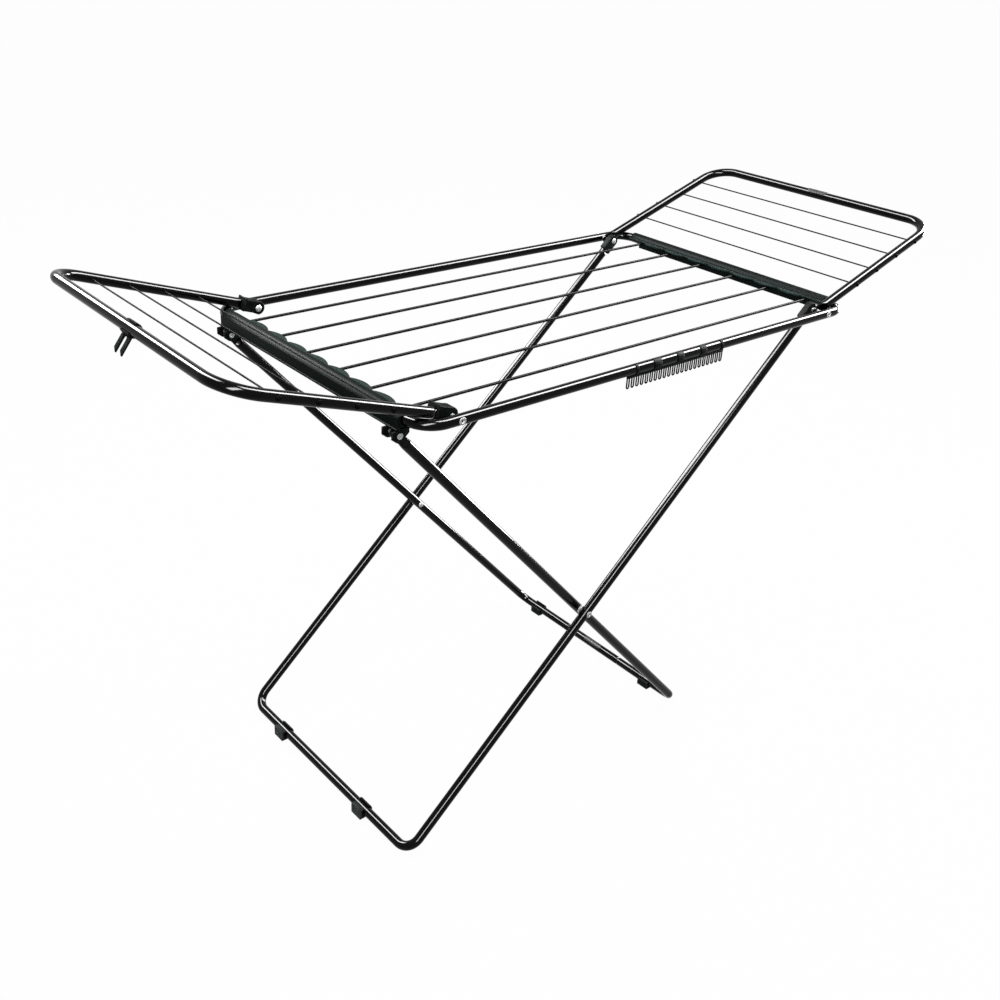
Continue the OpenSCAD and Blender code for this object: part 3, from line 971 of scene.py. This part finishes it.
    def _roll_crimp(self, sweep: TubeSweep) -> None:
        """Rolls a narrow groove round the tube, where it grips the sleeve inside.

        Args:
            sweep: the tube, on a straight run.
        """
        rings = 8
        last = sweep.radius
        for i in range(1, rings + 1):
            verts = sweep.straight(self.crimp_l / rings).ring_verts()
            reach = sweep.radius - self.crimp * math.sin(math.pi * i / rings) ** 2
            bmesh.ops.scale(sweep.bm, vec=(reach / last,) * 3, verts=verts,
                            space=Matrix.Translation(-sweep.centre))
            last = reach

    def _cut_hook(self, obj: bpy.types.Object, side: Side) -> None:
        """Cuts the open slot into an inner leg's tip.

        Args:
            obj: the tube.
            side: near or far tube.
        """
        lay = self.shop.layout
        across = side.value * lay.inner_y
        mouth = block((self.hook_mouth, self.cut_w, 2 * self.hook_slot),
                      (lay.pin.x + self.hook_mouth / 2, across, lay.pin.z))
        cut(obj, [peg(self.hook_slot, self.cut_w, (lay.pin.x, across, lay.pin.z)), mouth])

    def build(self) -> None:
        """Builds every bent tube."""
        self.rack()
        self.wings()
        self.outer_leg()
        self.inner_leg()


@dataclass
class EndStrips:
    """The scalloped covers over the end tubes that hold the rods."""

    shop: Workshop
    ledge_x: float = -13 * MM
    lip_top: float = -11 * MM
    lip_low: float = -13.4 * MM
    tongue_z: float = 0.65 * MM
    tongue_t: float = 3 * MM
    tongue_x: float = -15 * MM
    scallops: int = 7
    pitch: float = 55 * MM
    bulge: float = 8 * MM
    cover_t: float = 3 * MM
    skirt_t: float = 2.4 * MM
    web_inset: float = 6.5 * MM
    web_t: float = 4.6 * MM
    web_h: float = 13 * MM
    web_z: float = -5.4 * MM

    def _outline(self) -> list[Pair]:
        """Draws the cover's outline.

        Returns:
            Its (x, z) points, +X outboard of the end tube's centre.
        """
        bore = self.shop.layout.tube_r + PLAY
        cover = bore + self.cover_t
        skirt = cover + self.skirt_t
        points = [(self.ledge_x, 0.0), (self.ledge_x, self.tongue_z + self.tongue_t)]
        points += [(-cover + 0.2 * MM, self.tongue_z + self.tongue_t + 0.3 * MM)]
        points += arc(0.0, 0.0, cover, 150.0, 38.0, 14)
        points += [(skirt - 0.8 * MM, 4.6 * MM), (skirt, 2.2 * MM), (skirt, self.lip_top)]
        points += [(skirt + 2 * MM, self.lip_top - 0.8 * MM), (skirt + 2 * MM, self.lip_low)]
        points += [(skirt - 3 * MM, self.lip_low), (skirt - 3 * MM, -1 * MM)]
        points += arc(0.0, 0.0, bore, -6.0, 180.0, 20)
        return points

    def _tongue(self, half: float) -> Shape:
        """The scalloped tongue over the rod ends.

        Args:
            half: half length of the strip.

        Returns:
            The tongue lying in its place.
        """
        radius = ((self.pitch / 2) ** 2 + self.bulge ** 2) / (2 * self.bulge)
        spread = math.asin(self.pitch / 2 / radius)
        edge = [(self.tongue_x, -half)]
        for i in range(self.scallops):
            middle = (i - (self.scallops - 1) / 2) * self.pitch
            centre = self.tongue_x - self.bulge + radius
            for k in range(13):
                angle = spread * (k / 6 - 1)
                edge.append((centre - radius * math.cos(angle), middle + radius * math.sin(angle)))
        edge += [(self.tongue_x, half), (self.ledge_x + 5 * MM, half), (self.ledge_x + 5 * MM, -half)]
        shape = extruded([(x, y, self.tongue_z) for x, y in edge], (0.0, 0.0, self.tongue_t))
        shape.bevel_sharp(0.9 * MM, 3, 1.2)
        # The tongue's faces take the second material, the lighter copy of the plastic that is painted
        # light.
        for face in shape.bm.faces:
            face.material_index = 1
        return shape

    def build(self) -> None:
        """Builds both strips."""
        lay = self.shop.layout
        for end in End:
            name = end.word
            low, high = vectors(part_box(f"{name}_end_strip"))
            half = (high.y - low.y) / 2
            hold = lay.inner_y - lay.tube_r - self.web_inset
            shape = solid_profile(self._outline(), -half, half).bevel_sharp(0.6 * MM, 2, 0.9)
            shape.join(self._tongue(half))
            shape.join(block((self.web_t, 2 * hold, self.web_h),
                             (self.ledge_x + self.web_t / 2, 0.0, self.web_z), 0.7 * MM))
            flip = Matrix.Scale(float(end.value), 4, AXIS_X)
            shape.move(Matrix.Translation((end.value * lay.end_x, 0.0, lay.rack_z)) @ flip)
            # The cover takes the darker copy of the plastic as painted shade; the tongue's second
            # material is the lighter copy as painted light.
            obj = self.shop.finish(shape, f"scalloped_strip_{name}", "plastic", "main_frame",
                                   [f"{name}_end_strip"], look="strip_cover_painted_shade")
            obj.data.materials.append(self.shop.wardrobe.materials["strip_tongue_painted_light"])


@dataclass
class WingFittings:
    """Hinge caps, stop knobs and the fork clip of the wings."""

    shop: Workshop
    cap_r: float = 11 * MM
    cap_low: float = -9 * MM
    cap_top: float = 10.6 * MM
    cap_l: float = 28 * MM
    cap_w: float = 19 * MM
    slot_w: float = 3.1 * MM
    lines: int = 4
    line_first: float = 103 * MM
    line_pitch: float = 57 * MM
    knob_r: float = 3.5 * MM
    low_knob: float = 1.2 * MM
    fork_lean: float = 18.0
    fork_half_gap: float = 4.5 * MM
    prong_w: float = 8 * MM
    prong_l: float = 36 * MM
    prong_slant: float = 5.5 * MM
    prong_t: float = 3 * MM

    def _hinge_cap(self) -> bpy.types.Object:
        """Makes the moulded cap round the far arm's end.

        Returns:
            The cap in wing coordinates.
        """
        lay = self.shop.layout
        middle = lay.wing_y - JOGGLE
        y0 = middle - self.cap_w / 2
        y1 = middle + self.cap_w / 2
        outline = arc(0.0, 0.0, self.cap_r, 95.0, 255.0, 18)
        outline += [(8 * MM, self.cap_low), (self.cap_l - 2 * MM, self.cap_low),
                    (self.cap_l - 2 * MM, self.cap_top), (6 * MM, self.cap_top)]
        shape = solid_profile(outline, y0, y1).bevel_sharp(1.3 * MM, 3, 0.7)
        flange = block((3 * MM, self.cap_w + 3.8 * MM, 21.3 * MM),
                       (self.cap_l - 1.6 * MM, middle, 1.75 * MM), 0.7 * MM, 3)
        obj = shape.join(flange).to_object("cap")
        slot = block((44 * MM, self.slot_w, 40 * MM), (-10 * MM, middle, 0.0))
        eye = ring_y(8.2 * MM, 6.4 * MM, y0 - 1 * MM, y0 + 0.7 * MM)
        pocket = solid_profile([(11 * MM, -5.5 * MM), (22 * MM, -5.5 * MM), (22 * MM, 6.5 * MM),
                                (11 * MM, 6.5 * MM)], y0 - 1 * MM, y0 + 1.2 * MM)
        cut(obj, [slot, eye, pocket.bevel_sharp(0.5 * MM, 2)])
        return obj

    def hinge_caps(self) -> None:
        """Both caps of the left wing."""
        lay = self.shop.layout
        for side in Side:
            obj = self._hinge_cap()
            put(obj, lay.wing_frame(End.LEFT) @ Matrix.Scale(float(-side.value), 4, AXIS_Y))
            name = side.word
            self.shop.finish(obj, f"hinge_cap_{name}", "plastic", "left_wing",
                             [f"left_wing_hinge_{name}"])

    def knobs(self) -> None:
        """The stop knobs at the ends of the drying lines."""
        lay = self.shop.layout
        reach = lay.wing_y + lay.tube_r
        for end in End:
            name = end.word
            high = vectors(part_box(f"{name}_wing_stops"))[1]
            height = high.y - reach - PLAY
            shape = Shape()
            for side in Side:
                tall = height if side is Side.FAR else self.low_knob
                across = side.value * end.value
                for i in range(self.lines):
                    place = (self.line_first + i * self.line_pitch,
                             across * (reach + PLAY + tall / 2), 0.0)
                    knob = peg(self.knob_r, tall, place, segments=24)
                    shape.join(knob.bevel_sharp(min(1.3 * MM, 0.4 * tall), 4))
            shape.move(lay.wing_frame(end))
            self.shop.finish(shape, f"line_knobs_{name}", "line_coat", f"{name}_wing",
                             [f"{name}_wing_stops"])

    def fork(self) -> None:
        """The clip with two flat prongs on the left wing's outer bar."""
        lay = self.shop.layout
        low, high = vectors(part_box("fork_clip"))
        bore, wrap = lay.tube_r + PLAY, lay.tube_r + 2.05 * MM
        gap, tip = self.fork_half_gap, -self.prong_l
        out = gap + self.prong_w
        outline = arc(0.0, 0.0, wrap, 80.0, 336.0, 28) + arc(0.0, 0.0, bore, 330.0, 80.0, 28)
        shape = solid_profile(outline, -out, out)
        shape.bevel_sharp(0.6 * MM, 2, 0.9)
        prongs = [(-out, -8 * MM), (out, -8 * MM), (out, tip), (gap, tip + self.prong_slant)]
        prongs += arc(0.0, -wrap - gap - 1 * MM, gap, 0.0, 180.0, 12)
        prongs += [(-gap, tip), (-out, tip + self.prong_slant)]
        plate = solid_profile(prongs, -self.prong_t / 2, self.prong_t / 2)
        plate.bevel_sharp(0.7 * MM, 3, 0.6)
        lean = Matrix.Rotation(-math.radians(self.fork_lean), 4, "Y")
        plate.move(lean @ X_ONTO_Y)
        shape.join(plate)
        spot = Matrix.Translation((lay.wing_l, -(low.y + high.y) / 2, 0.0))
        shape.move(lay.wing_frame(End.LEFT) @ spot)
        self.shop.finish(shape, "fork_prongs", "plastic", "left_wing", ["fork_clip"])

    def build(self) -> None:
        """Builds all wing fittings."""
        self.hinge_caps()
        self.knobs()
        self.fork()


@dataclass
class LegFittings:
    """Leg caps, leg clips and feet."""

    shop: Workshop
    cap_r: float = 11 * MM
    cap_l: float = 26 * MM
    cap_t: float = 12 * MM
    cheek_r: float = 10 * MM
    keyhole_tilt: float = -70.0
    foot_half: float = 11 * MM
    foot_lip: float = 3 * MM
    outer_lip: float = 7 * MM
    outer_reach: float = 3 * MM

    def caps(self) -> None:
        """The boxy caps over the outer leg's upper ends."""
        lay = self.shop.layout
        top = Vector((lay.pivot_x, 0.0, lay.pivot_z))
        for side in Side:
            y0, y1 = lay.outer_y - self.cap_t / 2, lay.outer_y + self.cap_t / 2
            outline = arc(0.0, 0.0, self.cap_r, 90.0, 270.0, 20)
            outline += [(self.cap_l, -self.cap_r), (self.cap_l, self.cap_r)]
            obj = solid_profile(outline, y0, y1).bevel_sharp(1.8 * MM, 2, 0.9).to_object("cap")
            mouth = block((8 * MM, self.cap_t - 3.4 * MM, 2 * self.cap_r - 4.6 * MM),
                          (self.cap_l, lay.outer_y, 0.0))
            eye = ring_y(8.0 * MM, 6.0 * MM, y1 - 0.7 * MM, y1 + 1 * MM)
            cut(obj, [mouth, eye])
            put(obj, along(top, lay.outer_bar) @ Matrix.Scale(float(side.value), 4, AXIS_Y))
            name = side.word
            self.shop.finish(obj, f"leg_cap_{name}", "plastic", "outer_leg",
                             [f"outer_leg_cap_{name}"])

    def clips(self) -> None:
        """The forked clips under the left end tube that hold the inner leg's pins."""
        lay = self.shop.layout
        bore = lay.tube_r + PLAY
        for side in Side:
            name = side.word
            low, high = vectors(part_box(f"leg_clip_{name}"))
            width = high.y - low.y
            thick = (width - 2 * lay.tube_r - 2.6 * MM) / 2
            pin_x, pin_z = -lay.end_x - lay.pin.x, lay.pin.z - lay.rack_z
            cheek = [(-7 * MM, -8.4 * MM), (-7 * MM, -20 * MM)]
            cheek += arc(pin_x, pin_z, self.cheek_r, 205.0, 318.0, 14)
            cheek += [(21 * MM, -25.4 * MM), (21 * MM, -14.2 * MM), (10.1 * MM, -14.2 * MM),
                      (9.4 * MM, -8.8 * MM), (4 * MM, -8.8 * MM)]
            shape = Shape()
            for y0 in (-width / 2, width / 2 - thick):
                shape.join(solid_profile(cheek, y0, y0 + thick).bevel_sharp(0.9 * MM, 3, 0.7))
            shape.join(self._keyhole(pin_x, pin_z, width))
            saddle = arc(0.0, 0.0, lay.tube_r + 2.2 * MM, 182.0, 358.0, 20)
            saddle += arc(0.0, 0.0, bore, 358.0, 182.0, 20)
            shape.join(solid_profile(saddle, -width / 2, width / 2).bevel_sharp(0.5 * MM, 2, 0.9))
            shape.join(block((16.5 * MM, width, 4.4 * MM), (1.2 * MM, 0.0, -10.9 * MM), 0.8 * MM))
            place = Matrix.Translation((-lay.end_x, (low.y + high.y) / 2, lay.rack_z))
            shape.move(place @ FLIP_X)
            self.shop.finish(shape, f"pin_clip_{name}", "plastic", "main_frame",
                             [f"leg_clip_{name}"])

    def _keyhole(self, x: float, z: float, width: float) -> Shape:
        """Raised keyhole rims on both cheeks, round the pin and down to the edge.

        Args:
            x: pin's place outboard of the end tube.
            z: pin's height from the end tube.
            width: width over both cheeks.

        Returns:
            The rims in the clip's coordinates.
        """
        rims = Shape()
        tilt = math.radians(self.keyhole_tilt)
        down = Vector((math.cos(tilt), 0.0, math.sin(tilt)))
        for y0 in (-width / 2 - 0.1 * MM, width / 2 - 0.5 * MM):
            ring = ring_y(5.9 * MM, 4.7 * MM, y0, y0 + 0.6 * MM).bevel_sharp(0.2 * MM, 2)
            rims.join(ring.move(Matrix.Translation((x, 0.0, z))))
            for across in (-1.5 * MM, 1.5 * MM):
                rail = block((5.2 * MM, 0.6 * MM, 0.8 * MM),
                             (7.6 * MM, y0 + 0.3 * MM, across), 0.2 * MM)
                turn = Matrix.Rotation(-math.atan2(down.z, down.x), 4, "Y")
                rims.join(rail.move(Matrix.Translation((x, 0.0, z)) @ turn))
        return rims

    def feet(self) -> None:
        """The four feet that are snapped on from below."""
        lay = self.shop.layout
        bore = lay.tube_r + PLAY
        side_x = lay.tube_r / 2
        for leg in ("outer", "inner"):
            bar = lay.outer_bar if leg == "outer" else lay.inner_bar
            for side in Side:
                node = f"{leg}_foot_{side.word}"
                low, high = vectors(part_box(node))
                half = (high.y - low.y) / 2
                lip, face = self.foot_lip, self.foot_half
                if leg == "outer":
                    lip, face = self.outer_lip, face + self.outer_reach
                outer_angle = math.degrees(math.acos(side_x / self.foot_half))
                inner_angle = math.degrees(math.acos(side_x / bore))
                lip_angle = 180.0 - math.degrees(math.asin(lip / bore))
                outline = [(-face, -bar.z), (self.foot_half, -bar.z)]
                outline += arc(0.0, 0.0, self.foot_half, 0.0, outer_angle, 10)
                outline += arc(0.0, 0.0, bore, inner_angle, lip_angle - 360.0, 30)
                outline += [(-face, lip)]
                shape = solid_profile(outline, -half, half).bevel_sharp(1.0 * MM, 3, 0.8)
                shape.move(Matrix.Translation((bar.x, (low.y + high.y) / 2, bar.z)))
                self.shop.finish(shape, f"snap_foot_{leg}_{side.word}", "plastic",
                                 f"{leg}_leg", [node])

    def build(self) -> None:
        """Builds all leg fittings."""
        self.caps()
        self.clips()
        self.feet()


@dataclass
class SockComb:
    """The comb of teeth clipped under the near side tube."""

    shop: Workshop
    teeth: int = 22
    pitch: float = 10 * MM
    tooth_l: float = 17 * MM
    loop_r: float = 2.35 * MM
    wire_r: float = 1.15 * MM
    band_t: float = 1.25 * MM
    spine_w: float = 2.9 * MM
    spine_h: float = 4.9 * MM
    spine_drop: float = 2.9 * MM
    bands: tuple[Pair, ...] = ((0.05, 5), (0.26, 16), (0.5, 14), (0.75, 13), (0.96, 5))

    def build(self) -> None:
        """Builds the comb."""
        lay = self.shop.layout
        low = vectors(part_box("sock_comb"))[0]
        bore = lay.tube_r + PLAY
        run = (self.teeth - 1) * self.pitch
        spine_z = -bore - self.spine_drop
        shape = block((run + 2 * (self.loop_r + self.wire_r), self.spine_w, self.spine_h),
                      (run / 2, 0.0, spine_z), 0.8 * MM, 3)
        drop = self.tooth_l + 0.9 * MM - self.loop_r - self.wire_r
        for i in range(self.teeth):
            top = Vector((i * self.pitch - self.loop_r, 0.0, spine_z - 1 * MM))
            tooth = TubeSweep(self.wire_r, top, -AXIS_Z, segments=12, cap=True)
            tooth.straight(drop).bend(self.loop_r, math.pi, -AXIS_Y, 8).straight(drop).close()
            shape.join(tooth)
        outline = arc(0.0, 0.0, bore + self.band_t, 92.0, 331.0, 26)
        outline += arc(0.0, 0.0, bore, 331.0, 92.0, 26)
        for share, width in self.bands:
            band = solid_profile(outline, -width * MM / 2, width * MM / 2)
            band.bevel_sharp(0.4 * MM, 2, 0.9)
            band.move(Matrix.Translation((share * run, 0.0, 0.0)) @ X_ONTO_Y)
            shape.join(band)
        shape.move(Matrix.Translation((low.x + 2 * MM, -lay.side_y, lay.rack_z)))
        self.shop.finish(shape, "comb_of_teeth", "plastic", "main_frame", ["sock_comb"])


@dataclass
class Rivets:
    """Domed and rolled rivets and the clip pins."""

    shop: Workshop
    shank_r: float = 3 * MM
    head_r: float = 5.5 * MM
    dome: float = 2.6 * MM
    roll: float = 1.55 * MM

    def _rivet(self, y0: float, y1: float) -> Shape:
        """A rivet along Y with a dome below y0 and a rolled ring above y1.

        Args:
            y0: seat of the dome.
            y1: seat of the rolled ring.

        Returns:
            The closed shape.
        """
        radius = (self.head_r ** 2 + self.dome ** 2) / (2 * self.dome)
        spread = math.asin(self.head_r / radius)
        profile = []
        for k in range(9):
            angle = spread * k / 8
            profile.append((radius * math.sin(angle), y0 - self.dome + radius * (1 - math.cos(angle))))
        profile += [(self.shank_r, y0), (self.shank_r, y1 + 0.1 * MM)]
        middle = self.head_r - self.roll
        for k in range(17):
            angle = math.pi * (k / 16 - 0.35) * 1.25
            profile.append((middle + self.roll * math.cos(angle),
                            y1 + 0.1 * MM + self.roll * 0.5 + self.roll * 0.5 * math.sin(angle)))
        profile += [(1.6 * MM, y1 - 0.5 * MM), (0.0, y1 - 0.9 * MM)]
        return turned(profile, 32, closed=False)

    def _pair(self, shape: Shape, name: str, body: str, node: str) -> None:
        """Mirrors a far rivet to the near side and finishes the pair."""
        shape.mirrored(1)
        self.shop.finish(shape, name, "zinc", body, [node], smooth=0.9)

    def build(self) -> None:
        """Builds every rivet and pin."""
        lay = self.shop.layout
        outer = lay.side_y + lay.tube_r
        seats = {End.LEFT: lay.wing_y - JOGGLE - 9.55 * MM, End.RIGHT: lay.outer_y - 6.3 * MM}
        for end in End:
            name = end.word
            shape = self._rivet(seats[end], outer)
            shape.move(Matrix.Translation((end.value * lay.pivot_x, 0.0, lay.pivot_z)))
            self._pair(shape, f"wing_rivet_pair_{name}", "main_frame", f"{name}_wing_rivets")
        shape = self._rivet(lay.inner_y - lay.tube_r - 0.1 * MM, lay.outer_y + lay.tube_r)
        self._pair(shape.move(Matrix.Translation(lay.cross)), "leg_rivet_pair", "outer_leg",
                   "leg_rivets")
        low, high = vectors(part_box("leg_clip_far"))
        shape = peg(self.shank_r, high.y - low.y + 1.6 * MM, (0.0, (low.y + high.y) / 2, 0.0))
        for y0, y1 in ((low.y - 1.4 * MM, low.y - PLAY), (high.y + PLAY, high.y + 1.4 * MM)):
            shape.join(ring_y(4.5 * MM, 2.4 * MM, y0, y1).bevel_sharp(0.45 * MM, 3))
        self._pair(shape.move(Matrix.Translation((lay.pin.x, 0.0, lay.pin.z))), "clip_pin_pair",
                   "main_frame", "leg_clip_pins")


# ---------------------------------------------------------------- studio


class Lamp(Enum):
    """What a lamp is for."""

    SOFT = "lights the colours"
    STRIP = "is mirrored in the gloss"


@dataclass
class Studio:
    """Camera, lamps, floor and backdrop."""

    layout: Layout
    position: Triple = (-1.2765, -1.3370, 1.3973)
    azimuth: float = 41.98
    elevation: float = 28.04
    roll: float = 3.61
    lens: float = 41.63
    fill: float = 0.35
    evenness: float = 0.975
    sensor: float = 36.0
    clip_end: float = 100.0
    aim: Triple = (0.0, 0.0, 0.6)
    floor_half: float = 40.0
    shade: Triple = (0.93, 0.96, 1.0)

    def camera(self) -> None:
        """Places the camera at the viewing angle."""
        data = bpy.data.cameras.new("camera")
        data.lens = self.lens
        data.sensor_width = self.sensor
        data.clip_end = self.clip_end
        camera = linked("camera", data)
        turn = Euler((math.radians(90 - self.elevation), 0.0, math.radians(-self.azimuth)))
        spin = Matrix.Rotation(math.radians(self.roll), 4, "Z")
        camera.matrix_world = Matrix.Translation(self.position) @ turn.to_matrix().to_4x4() @ spin
        bpy.context.scene.camera = camera

    def lamp(self, name: str, at: Triple, run: Triple, size: Pair, power: float,
             kind: Lamp) -> None:
        """Adds a lamp aimed at the rack.

        Args:
            name: lamp name.
            at: position in metres.
            run: direction in which the lamp is long.
            size: length and width of the lamp.
            power: watts.
            kind: whether it lights the colours or is only mirrored in the gloss.
        """
        data = bpy.data.lights.new(name, "AREA")
        data.shape = "RECTANGLE"
        data.size, data.size_y = size
        data.energy = power
        lamp = linked(name, data)
        back = (Vector(at) - Vector(self.aim)).normalized()
        long = Vector(run)
        long = (long - back * long.dot(back)).normalized()
        wide = back.cross(long)
        turn = Matrix((long, wide, back)).transposed().to_4x4()
        lamp.matrix_world = Matrix.Translation(at) @ turn
        lamp.visible_camera = False
        lamp.visible_diffuse = kind is Lamp.SOFT
        lamp.visible_glossy = kind is Lamp.STRIP

    def seen(self, graph: Graph) -> bpy.types.NodeSocket:
        """Finds where the eye, a reflection or clear glass looks at the surroundings.

        Args:
            graph: graph that gets the nodes.

        Returns:
            A socket that is 1 there and 0 elsewhere.
        """
        path = graph.add("ShaderNodeLightPath")
        level = path.outputs["Is Camera Ray"]
        for ray in ("Is Glossy Ray", "Is Transmission Ray"):
            most = graph.add("ShaderNodeMath", level, path.outputs[ray], operation="MAXIMUM")
            level = most.outputs[0]
        return level

    def world(self) -> None:
        """White to the eye and in the gloss, a low even level for everything else."""
        world = bpy.data.worlds.new("studio")
        bpy.context.scene.world = world
        world.use_nodes = True
        world.node_tree.nodes.clear()
        graph = Graph(world.node_tree)
        low, white = (
            graph.add("ShaderNodeBackground", Color=(*colour, 1.0), Strength=strength).outputs[0]
            for colour, strength in ((self.shade, self.fill), ((1.0, 1.0, 1.0), 1.0)))
        mix = graph.add("ShaderNodeMixShader", self.seen(graph), low, white)
        graph.add("ShaderNodeOutputWorld", Surface=mix.outputs[0])

    def floor(self) -> None:
        """A wide white floor that keeps a faint shadow."""
        shape = Shape()
        bmesh.ops.create_grid(shape.bm, x_segments=1, y_segments=1, size=self.floor_half)
        obj = shape.to_object("floor")
        graph = MaterialGraph("floor_white")
        graph.fill(graph.shader, Base_Color=(0.8, 0.8, 0.8, 1.0), Roughness=1.0,
                   Specular_IOR_Level=0.0)
        part = graph.add("ShaderNodeMath", self.seen(graph), self.evenness, operation="MULTIPLY")
        glow = graph.add("ShaderNodeEmission")
        mix = graph.add("ShaderNodeMixShader", part.outputs[0], graph.shader.outputs[0],
                        glow.outputs[0])
        graph.fill(graph.tree.nodes["Material Output"], Surface=mix.outputs[0])
        obj.data.materials.append(graph.material)

    def build(self) -> None:
        """Builds the whole studio."""
        bpy.context.scene.view_settings.view_transform = "Standard"
        self.camera()
        self.world()
        self.floor()
        along_x, along_y = (1.0, 0.0, 0.0), (0.0, 1.0, 0.0)
        self.lamp("soft_right", (1.6, -0.6, 4.0), along_x, (1.6, 1.6), 78.0, Lamp.SOFT)
        self.lamp("soft_left", (-0.6, 1.6, 4.0), along_y, (1.6, 1.6), 62.0, Lamp.SOFT)
        self.lamp("strip_along_rack", (2.3, -0.9, 3.8), along_x, (5.0, 1.35), 2800.0, Lamp.STRIP)
        self.lamp("strip_across_rack", (-1.2, 2.4, 3.8), along_y, (5.0, 1.2), 2250.0, Lamp.STRIP)
        self.lamp("strip_for_outer_leg", (-2.3, -2.4, 2.6), (-0.74, 0.0, -0.67), (3.4, 0.9), 1040.0,
                  Lamp.STRIP)
        self.lamp("strip_for_inner_leg", (3.6, 0.1, 0.5), (0.0, 0.3, 1.0), (1.0, 1.35), 440.0,
                  Lamp.STRIP)


def main() -> None:
    """Builds every piece of the dressed airer in order."""
    logging.basicConfig(level=logging.INFO, format="%(name)s: %(message)s")
    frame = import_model()
    layout = Layout.read(frame)
    Studio(layout).build()
    wardrobe = Wardrobe()
    wardrobe.dress_frame(frame)
    shop = Workshop(layout, wardrobe)
    for assembly in (BentFrames, EndStrips, WingFittings, LegFittings, SockComb, Rivets):
        assembly(shop).build()


if __name__ == "__main__":
    main()
